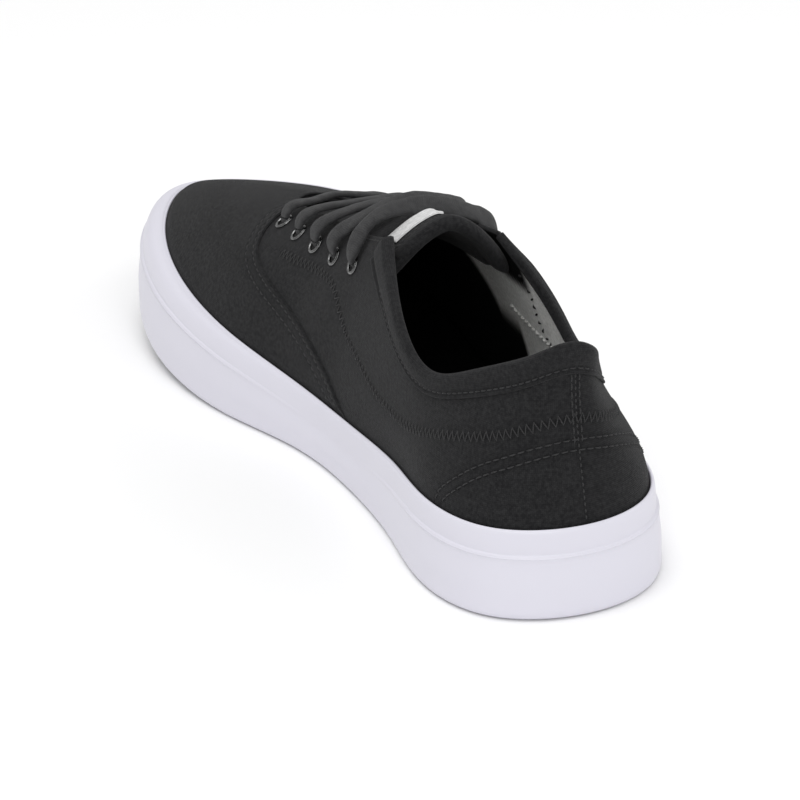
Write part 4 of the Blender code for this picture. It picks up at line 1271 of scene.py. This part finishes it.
def binding_section():
    """Section of the collar's tape: distance below the edge and height over the wall, in metres."""
    rows = np.array((
        (BINDING_WIDTH, 0.00005), (BINDING_WIDTH + 0.00002, 0.0005), (BINDING_WIDTH - 0.0005, 0.00078),
        (BINDING_WIDTH - 0.0016, 0.00070), (BINDING_WIDTH - 0.0024, 0.00060),
        (BINDING_WIDTH - 0.0036, 0.00088), (0.0040, 0.00112), (0.0020, 0.00112), (0.0004, 0.00085),
        (-0.0005, 0.0002), (-0.0009, -0.0008), (-0.0006, -0.0018), (0.0004, -0.0024),
        (0.0018, -0.0026), (0.0030, -0.0026), (0.0040, -0.00255), (0.0046, -0.0024),
        (0.0047, -0.00205)))
    return smoothed(rows, 44)


def make_binding(canvas):
    """The tape folded over the collar: a section carried along the edge from eyestay to eyestay.

    The section goes down with the collar's drops, narrows inside near its ends and stands fuller by a
    bell of station on both sides.
    """
    station = np.linspace(CORNER_STATION - 0.02, -CORNER_STATION + 0.02, 420)
    turn = signed_turn(station)
    section = binding_section()
    below, lift = section[:, 0][:, None], section[:, 1][:, None]
    length = wall_length(turn)
    corner_gap = CORNER_STATION - np.abs(station)
    inside = lift < -0.0015
    narrow = np.where(inside, 0.25 + 1.10 * ease((corner_gap - 0.3) / 1.8), 1.0)
    medial, lateral = collar_drops(turn)
    drop = medial * np.where(inside, 1.0, 1 - np.clip(below / BINDING_WIDTH, 0, 1)) + lateral
    depth = np.maximum(below, 0) * narrow + drop
    up = 1 - depth / length
    turns = np.broadcast_to(turn, up.shape)
    climb = unit(wall(turn, 1.0) - wall(turn, 1.0 - MILLIMETRE / length))
    normal = wall_normal(turns, up)
    fade = 0.45 + 0.55 * ease(corner_gap / 0.35)
    full = TAPE_FULL_LATERAL * bell(station, -4.15, 0.45) * ease((corner_gap + 0.02) / 0.3)
    full = full + TAPE_FULL_MEDIAL * bell(station, 4.45, 0.25)
    lift = np.where(lift > 0, lift * fade + full * np.clip(lift / 0.0008, 0, 1), lift)
    over = np.maximum(-below, 0) * fade + full * np.clip(-below / 0.0008, 0, 1)
    points = wall(turns, up) + normal * lift[..., None] + climb * over[..., None]
    points = points - normal * creased(turns, up)[..., None]
    row = depth - lateral
    row[20:] = 1.0
    piece = surface("collar_binding", points, canvas, closed_rows=True, cloth=True,
                    fields={"binding_row": row}, flip=True)
    weld(piece, fill=True)
    return dress(piece, "black_canvas")


def make_tongue(canvas):
    """The padded tongue: a rounded flat section carried up from under the vamp.

    The inner face lies below the outer one by a thickness that falls to nothing at the edges as the
    square root of one less a high power, so that the rim is a half round all the way.
    """
    along = np.linspace(0, 1, 130)
    share = np.sin(np.linspace(-1, 1, 61) * np.pi / 2)
    ease_in = np.minimum(along / 0.05, (1 - along) / TONGUE_TOP_ROUND)
    outer, inner = tongue_faces(along[:, None], share[None], quarter_round(ease_in)[:, None])
    points = np.concatenate([outer, inner[:, -2:0:-1]], axis=1)
    piece = surface("tongue_canvas", points, canvas, closed_columns=True, cloth=True)
    weld(piece)
    return dress(piece, "black_canvas", "tongue")


def tongue_faces(along, share, end_round):
    """Outer and inner faces of the tongue, drawn in at its rounded edges and dipped under the laces."""
    dip = LACE_DIP * ease((np.abs(share) - 0.72) / 0.25) * ease((0.86 - along) / 0.06)
    quilt = TONGUE_PAD * (1 - share ** 2) * ease((along - 0.70) / 0.12) * end_round
    normal = tongue_normal(along, share)
    face = tongue(along, share)
    thickness = TONGUE_THICKNESS * np.sqrt(np.clip(1 - np.abs(share) ** 7, 0, 1)) * end_round
    middle = face - normal * (TONGUE_THICKNESS / 2 + dip)[..., None]
    half = (thickness / 2)[..., None]
    return middle + normal * (half + quilt[..., None]), middle - normal * half


def make_label(white):
    """The blank woven label: a thin tape over the tongue with turned-in ends and a rounded edge."""
    top = tongue(1.0, 0.0)[1] + LABEL_MARGIN + LABEL_SHIFT
    ends = tongue_place(np.array([top + LABEL_LENGTH, top]))
    along = np.linspace(ends[0], ends[1], 26)[:, None]
    share = np.linspace(-LABEL_REACH, LABEL_END, 90)[None]
    flat = tongue(along, share)
    normal = tongue_normal(along, share)
    side_gap = np.minimum(np.linspace(0, 1, 26), np.linspace(1, 0, 26))[:, None] * LABEL_LENGTH
    end_gap = np.minimum(share + LABEL_REACH, LABEL_END - share) * 0.03
    rounded = quarter_round(np.minimum(side_gap, end_gap) / LABEL_ROUND)
    rest = TONGUE_PAD * (1 - share ** 2) + CLEARANCE
    hem = 0.0002 * bell(side_gap, 0.0011, 0.0005)
    outer = flat + normal * (rest + LABEL_THICKNESS * rounded + hem)[..., None]
    inner = flat + normal * (rest * np.ones_like(rounded))[..., None]
    points = np.concatenate([outer, inner[:, -2:0:-1]], axis=1)
    piece = surface("blank_label", points, white, closed_columns=True, cloth=True)
    weld(piece)
    return dress(piece, "white_label", "tongue_label")


def make_tongue_binding(canvas):
    """The folded tape over the tongue's top edge: a flattened hairpin section carried across it."""
    share = np.sin(np.linspace(-1, 1, 90) * np.pi / 2) * 0.995
    depth = TONGUE_BAND
    hairpin = np.array((
        (depth, 0.0002), (depth - 0.0003, 0.0006), (depth - 0.0012, 0.0006), (depth - 0.0020, 0.0005),
        (depth * 0.5, 0.0009), (depth * 0.2, 0.0009), (0.0, 0.0006), (-0.0009, -0.0004),
        (-0.0013, -0.0016), (-0.0009, -0.0029), (0.0, -0.0038), (depth * 0.3, -0.0042),
        (depth * 0.7, -0.0041), (depth - 0.0006, -0.0038), (depth, -0.0033)))
    section = smoothed(hairpin, 36)
    below, lift = section[:, 0][:, None], section[:, 1][:, None]
    length = travelled(tongue(np.linspace(0.8, 1, 40)[:, None], share[None]))[-1] / 0.2
    along = 1 - np.maximum(below, 0) / length
    shares = np.broadcast_to(share, along.shape)
    normal = tongue_normal(along, shares)
    climb = unit(tongue(1.0, share) - tongue(0.99, share))
    quilt = TONGUE_PAD * (1 - share ** 2)
    pinch = np.sqrt(np.clip(1 - np.abs(share) ** 14, 0, 1))[None]
    middle = tongue(along, shares) - normal * (TONGUE_THICKNESS / 2)
    points = (middle + normal * ((lift + TONGUE_THICKNESS / 2) * pinch + quilt)[..., None]
              + climb * (np.maximum(-below, 0) * pinch)[..., None])
    piece = surface("tongue_binding", points, canvas, closed_rows=True, cloth=True)
    weld(piece, fill=True)
    return dress(piece, "black_canvas")


def make_sockliner(cloth):
    """The sockliner: rungs from the medial to the lateral edge, with a quarter circle down at both."""
    turn = np.linspace(0, 0.5, 120)
    sides = []
    for way in (turn, 1 - turn):
        slab = slab_height(footprint(way)[:, 1])
        low = slab + CLEARANCE
        high = low + INSOLE_THICKNESS
        edges = []
        for height in (high, low):
            inset = lasting_inset(way, height) + LASTING_GAP + WALL + CLEARANCE
            edges.append(side_point(way, inset, height))
        sides.append(edges)
    share = np.linspace(-1, 1, 41)
    share = np.sign(share) * (1 - (1 - np.abs(share)) ** 1.5)
    mix = ((1 + share) / 2)[None, :, None]
    top = sides[0][0][:, None] * (1 - mix) + sides[1][0][:, None] * mix
    bottom = sides[0][1][:, None] * (1 - mix) + sides[1][1][:, None] * mix
    width = np.linalg.norm(sides[1][0] - sides[0][0], axis=1)[:, None]
    edge = (1 - np.abs(share)) * width / 2 / SOCKLINER_ROUND
    drop = SOCKLINER_DROP * (1 - quarter_round(edge))
    top = top - UP * drop[..., None]
    points = np.concatenate([top, bottom[:, ::-1]], axis=1)
    piece = surface("sockliner_cloth", points, cloth, closed_columns=True, cloth=True)
    weld(piece)
    turn_outwards(piece)
    return dress(piece, "sockliner", "insole")


# Eyelets and laces


def make_eyelets(metal, dark):
    """Ten turned eyelets: a rolled rim that goes down into a barrel, over a black disc that is painted
    shade in the hole.

    Both profiles are radii and heights carried round the axis. The rim's is a smooth curve through its
    guides.
    """
    inner, outer = EYELET_INNER / 2 - 0.0003, EYELET_OUTER / 2 - 0.0007
    top = EYELET_SEAT + EYELET_RIM * 0.7
    guides = np.array((
        (inner + 0.0001, -0.0015), (inner, 0.0), (inner + 0.00002, 0.0006),
        (inner + 0.0002, top - 0.0002), (inner + 0.0006, top), (outer - 0.0006, top - 0.0003),
        (outer - 0.00015, EYELET_SEAT + 0.0003), (outer, EYELET_SEAT),
        (outer - 0.00025, EYELET_SEAT - 0.00012), (inner + 0.0006, EYELET_SEAT),
        (inner + 0.0004, -0.0004), (inner + 0.0004, -0.0015)))
    profile = smoothed(guides, 34)
    cup = np.array((
        (0.0, -0.0012), (inner * 0.6, -0.0011), (inner + 0.0002, -0.0006), (inner + 0.0002, 0.0002),
        (inner * 0.6, 0.0001), (0.0, 0.0001)))
    angle = circle_angles(44)
    for place, (side, centre, axis) in enumerate(eyelet_frames()):
        level = unit(np.cross(axis, [0.0, 1.0, 0.0]))
        other = np.cross(axis, level)
        spoke = np.cos(angle)[:, None] * level + np.sin(angle)[:, None] * other
        seated = centre - axis * 0.0001
        points = seated + spoke[None] * profile[:, :1, None] + axis * profile[:, 1:, None]
        name = f"eyelet_{side}_{place % EYELET_COUNT + 1}"
        piece = surface(name + "_turned", points, metal, closed_rows=True, closed_columns=True,
                        flip=True)
        turn_outwards(piece)
        dress(piece, "dark_eyelet_metal", name)
        # The cup is a black disc, painted shade where the hole goes dark.
        points = seated + spoke[None] * cup[:, :1, None] + axis * cup[:, 1:, None]
        hole_shade_disc = surface(name + "_painted_hole_shade", points, dark, closed_columns=True)
        weld(hole_shade_disc)
        turn_outwards(hole_shade_disc)
        dress(hole_shade_disc, "black_canvas")


def lace_route(medial, lateral, swings, lean):
    """Points, outward directions, and width and thickness shares along one lace.

    The lace comes up through the medial eyelet, bends over its rim, crosses the tongue to the other
    eyelet and goes down through it. Its guides are swung a little, in millimetres.
    """
    guides, tilts = lace_guides(medial, lateral)
    guides[1:-1] += np.array(swings) * MILLIMETRE
    ends = []
    for (_side, centre, axis), near, far in ((medial, guides[0], guides[1]),
                                             (lateral, guides[-1], guides[-2])):
        climb = unit(far - near)
        ends.append([(centre + axis * rise + climb * run, axis * out + climb * on, wide, thick)
                     for rise, run, out, on, wide, thick in LACE_TURN_ROWS])
    middle = [(point, tilt - np.array([0.0, lean * share, 0.0]), 1.0 + 0.3 * lean * share, 1.0)
              for point, tilt, share in zip(guides[1:-1], tilts[1:-1], LEAN_SHARES)]
    route = ends[0] + middle + ends[1][::-1]
    return [np.array(part) for part in zip(*route)]


def make_laces(cloth):
    """Five flat laces: a soft oval section carried along each route, a little uneven.

    The section is a rounded flat oval, with its width and thickness shares read along the route, and a
    slow wave in both so that the braid lies like cloth.
    """
    frames = eyelet_frames()
    angle = circle_angles(28)
    across = np.sign(np.cos(angle)) * np.abs(np.cos(angle)) ** 0.8 * LACE_WIDTH / 2
    through = np.sign(np.sin(angle)) * np.abs(np.sin(angle)) ** 0.75 * LACE_THICKNESS * 0.38
    for place in range(EYELET_COUNT):
        route, tilt, wide_share, thick_share = lace_route(frames[place], frames[place + EYELET_COUNT],
                                                          LACE_SWINGS[place], LACE_LEANS[place])
        knots = travelled(route)
        at = np.linspace(0, knots[-1], 150)
        line = spline(knots, route, at)
        tangent = unit(np.gradient(line, axis=0))
        wide = unit(np.cross(tangent, spline(knots, tilt, at)))
        thick = np.cross(wide, tangent)
        wave = 1 + 0.05 * np.sin(at * 520 + place * 1.9) + 0.03 * np.sin(at * 1230 + place)
        width = np.interp(at, knots, wide_share) * wave
        depth = np.interp(at, knots, thick_share) * (2 - wave)
        points = (line[:, None] + wide[:, None] * (width[:, None] * across)[..., None]
                  + thick[:, None] * (depth[:, None] * through)[..., None])
        piece = surface(f"flat_lace_{place + 1}", points, cloth, closed_columns=True, cloth=True,
                        caps=True)
        turn_outwards(piece)
        dress(piece, "black_lace", f"lace_bar_{place + 1}")
    make_hidden_runs(frames, cloth)


def make_hidden_runs(frames, cloth):
    """The lace's runs under the eyestays, from one eyelet to the next, as flat tapes."""
    angle = circle_angles(14)
    for number, (first, last) in enumerate(((5, 6), (7, 8), (1, 2), (3, 4))):
        start, end = frames[first], frames[last]
        share = np.linspace(-0.12, 1.12, 30)[:, None]
        axis = unit(start[2] * (1 - share) + end[2] * share)
        line = start[1] * (1 - share) + end[1] * share - axis * (WALL + RUN_GAP)
        tangent = unit(np.gradient(line, axis=0))
        wide = unit(np.cross(tangent, axis))
        points = (line[:, None] + wide[:, None] * (np.cos(angle) * RUN_HALF_WIDTH)[:, None]
                  + axis[:, None] * (np.sin(angle) * RUN_HALF_THICKNESS)[:, None])
        piece = surface(f"lace_run_{number + 1}", points, cloth, closed_columns=True, cloth=True,
                        caps=True)
        turn_outwards(piece)
        dress(piece, "black_lace")


# Rows of stitching


def sew(thread, pale_thread):
    """All the rows of stitches, on the canvas, on the lining and on the tongue."""
    turn, up = traced(both_sides(ZIGZAG_ROWS), 900)
    wall_stitches("zigzag_row", turn, up, ROW_LIFT, thread, ZIGZAG_STITCH)
    turn, up = traced(both_sides(COUNTER_ROWS), 600)
    wall_stitches("counter_row_upper", turn, up, ROW_LIFT, thread, PLAIN_STITCH)
    turn, up = beside(np.unwrap(turn, period=1.0), up, -COUNTER_ROW_GAP)
    keep = up > 0.04
    wall_stitches("counter_row_lower", turn[keep], up[keep], ROW_LIFT, thread, PLAIN_STITCH)
    for side, way in (("medial", 1.0), ("lateral", -1.0)):
        ups = np.linspace(0.03, 0.985, 700)
        seam = seam_turns(ups)[0 if side == "medial" else 1]
        for number, gap in enumerate(VAMP_ROW_GAPS):
            turn, up = beside(seam, ups, gap * way)
            keep = (up > 0.03) & (up < 0.985)
            wall_stitches(f"vamp_row_{side}_{number + 1}", turn[keep], up[keep], VAMP_CLOTH, thread,
                          PLAIN_STITCH)
        turn, up = beside(np.zeros(240), np.linspace(0.44, 0.86, 240), HEEL_ROW_GAP * way)
        wall_stitches(f"heel_seam_{side}", turn, up, ROW_LIFT, thread, PLAIN_STITCH)
    wall_stitches("heel_seam_middle", np.zeros(240), np.linspace(0.015, 0.86, 240), -ROW_LIFT, thread,
                  HEEL_STITCH)
    turn = signed_turn(np.linspace(CORNER_STATION - 0.1, -CORNER_STATION + 0.1, 900))
    up = 1 - (BINDING_ROW_DEPTH + collar_drops(turn)[1]) / wall_length(turn)
    wall_stitches("binding_row", turn, up, TAPE_ROW_LIFT, thread, TAPE_STITCH)
    for side in ("medial", "lateral"):
        station = np.linspace(CORNER_STATION + 0.05, 8.0, 600)
        turn, up = eyestay_point(station, side, EYESTAY_ROW_GAP)
        wall_stitches(f"eyestay_row_{side}", turn, up, ROW_LIFT, thread, TAPE_STITCH)
    lining_stitches("lining_dashes", LINING_DASHES, 500, thread, LINING_DASH)
    lining_stitches("lining_seam", LINING_SEAM, 300, pale_thread, LINING_STITCH)
    share = np.linspace(-0.93, 0.93, 300)
    along = np.full_like(share, 1 - TONGUE_ROW_DEPTH / TONGUE_TRAVEL)
    normal = tongue_normal(along, share)
    lift = TONGUE_PAD * (1 - share ** 2) + TONGUE_ROW_LIFT
    line = tongue(along, share) + normal * lift[:, None]
    stitches("tongue_band_row", line, normal, thread, **TAPE_STITCH)


# Put together


def light(name, place, aim, size, power):
    """A soft square light over the shoe, turned towards a point."""
    lamp = bpy.data.lights.new(name, "AREA")
    lamp.energy = power
    lamp.size = size
    holder = bpy.data.objects.new(name, lamp)
    holder.location = place
    holder.rotation_euler = (Vector(aim) - Vector(place)).to_track_quat("-Z", "Y").to_euler()
    bpy.context.scene.collection.objects.link(holder)


def set_camera():
    """The photograph's view: a long lens from behind the heel, above the medial side.

    Back goes from the aim to the camera by its two angles, and the other two axes are rolled about it.
    """
    azimuth, elevation, roll = math.radians(-23.5), math.radians(25.1), math.radians(-1.4)
    aim = Vector((-0.02161, -0.0595, 0.040))
    distance = 1.5
    back = Vector((math.sin(azimuth) * math.cos(elevation), -math.cos(azimuth) * math.cos(elevation),
                   math.sin(elevation)))
    right = Vector((math.cos(azimuth), math.sin(azimuth), 0.0))
    over = back.cross(right)
    side = right * math.cos(roll) + over * math.sin(roll)
    top = over * math.cos(roll) - right * math.sin(roll)
    lens = bpy.data.cameras.new("camera")
    lens.lens = 213.075
    lens.sensor_width = 36.0
    lens.clip_start = 0.05
    camera = bpy.data.objects.new("camera", lens)
    rows = zip(side, top, back, aim + distance * back)
    camera.matrix_world = Matrix((*rows, (0, 0, 0, 1)))
    bpy.context.scene.collection.objects.link(camera)
    bpy.context.scene.camera = camera


def make_stage():
    """A white floor, an even white sky and soft lights from above."""
    material, board, shader = start_material("white_floor", 0.9)
    cloudy = board.noise(board.place(), 3.0)
    board.fill(shader, {"Base Color": board.blend(cloudy, (0.935, 0.935, 0.935), (0.95, 0.95, 0.95))})
    mesh = bpy.data.meshes.new("floor")
    wide = 6.0
    mesh.from_pydata([(-wide, -wide, 0), (wide, -wide, 0), (wide, wide, 0), (-wide, wide, 0)], [],
                     [(0, 1, 2, 3)])
    mesh.materials.append(material)
    floor = bpy.data.objects.new("floor", mesh)
    bpy.context.scene.collection.objects.link(floor)
    world = bpy.data.worlds.new("sky")
    world.use_nodes = True
    Board(world.node_tree).fill(world.node_tree.nodes["Background"],
                                {"Color": (1.0, 1.0, 1.0), "Strength": 0.645})
    bpy.context.scene.world = world
    light("light_above", (-0.30, 0.05, 1.5), (0.0, 0.0, 0.0), 1.0, 9.0)
    light("light_front", (-0.4, -1.3, 0.9), (0.0, 0.0, 0.04), 0.9, 6.3)
    light("light_right", (1.2, -0.5, 0.9), (0.0, 0.0, 0.04), 0.8, 3.0)
    bpy.context.scene.view_settings.view_transform = "Standard"


def build():
    """Make every piece with its material."""
    weave = make_weave_group()
    groove = make_groove_group()
    cloth = (weave, groove)
    # The quarter's canvas is the vamp's cloth made a little darker: partly painted shade, toning down
    # the light the quarters catch.
    black, grey = (0.010, 0.010, 0.011), (0.026, 0.026, 0.027)
    canvas = make_canvas("quarter_canvas", *cloth, black, grey,
                         (("zigzag_row", 0.0, 0.0018), ("counter_row", 0.0, 0.0008),
                          ("counter_row", -COUNTER_ROW_GAP, 0.0008), ("back_seam", 0.0, 0.0006)))
    vamp_cloth = make_canvas("vamp_canvas", *cloth, (0.011, 0.011, 0.012), (0.028, 0.028, 0.029),
                             tuple(("seam_row", gap, 0.0007) for gap in VAMP_ROW_GAPS))
    tape = make_canvas("binding_tape", *cloth, black, grey,
                       (("binding_row", BINDING_ROW_DEPTH, 0.0007),))
    # The lining's pale grey is brighter than a real cloth's, painted light for the dim inside of the
    # shoe, and deep inside it fades to black, painted shade.
    lining = make_canvas("grey_lining", *cloth, (0.74, 0.74, 0.72), (0.95, 0.95, 0.93),
                         fade=((0.002, 0.002, 0.002), "lining_painted_shade_mix"), sheen=0.0, shade=0.12)
    tongue_cloth = make_canvas("tongue_canvas", *cloth, (0.011, 0.011, 0.012), (0.029, 0.029, 0.030))
    label_cloth = make_canvas("label_weave", *cloth, (0.66, 0.66, 0.66), (0.86, 0.86, 0.86), sheen=0.1)
    sock_cloth = make_canvas("sockliner_cloth", *cloth, (0.002, 0.002, 0.002), (0.006, 0.006, 0.006),
                             sheen=0.0, gloss=0.03)
    rubber = make_rubber("white_rubber", (0.69, 0.68, 0.755), (0.57, 0.56, 0.61))
    tread = make_rubber("outsole_rubber", (0.62, 0.62, 0.65), (0.50, 0.50, 0.52), 0.55, 0.5)
    thread = make_thread("dark_thread", (0.042, 0.042, 0.043))
    pale_thread = make_thread("pale_thread", (0.70, 0.70, 0.68))
    lace_cloth = make_lace_cloth("black_lace", (0.009, 0.009, 0.010), (0.033, 0.033, 0.034))
    metal = make_eyelet_metal()
    # Black for the eyelets' holes: painted shadow.
    hole = make_rubber("hole_shadow", (0.003, 0.003, 0.003), (0.002, 0.002, 0.002), 0.9, 0.0)

    make_shell(canvas, lining)
    make_vamp(vamp_cloth)
    make_binding(tape)
    make_tongue(tongue_cloth)
    make_tongue_binding(tape)
    make_label(label_cloth)
    make_eyelets(metal, hole)
    make_laces(lace_cloth)
    make_foxing_piece(rubber)
    make_sockliner(sock_cloth)
    sew(thread, pale_thread)
    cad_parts["outsole"].data.materials.clear()
    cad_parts["outsole"].data.materials.append(tread)


set_camera()
build()
make_stage()
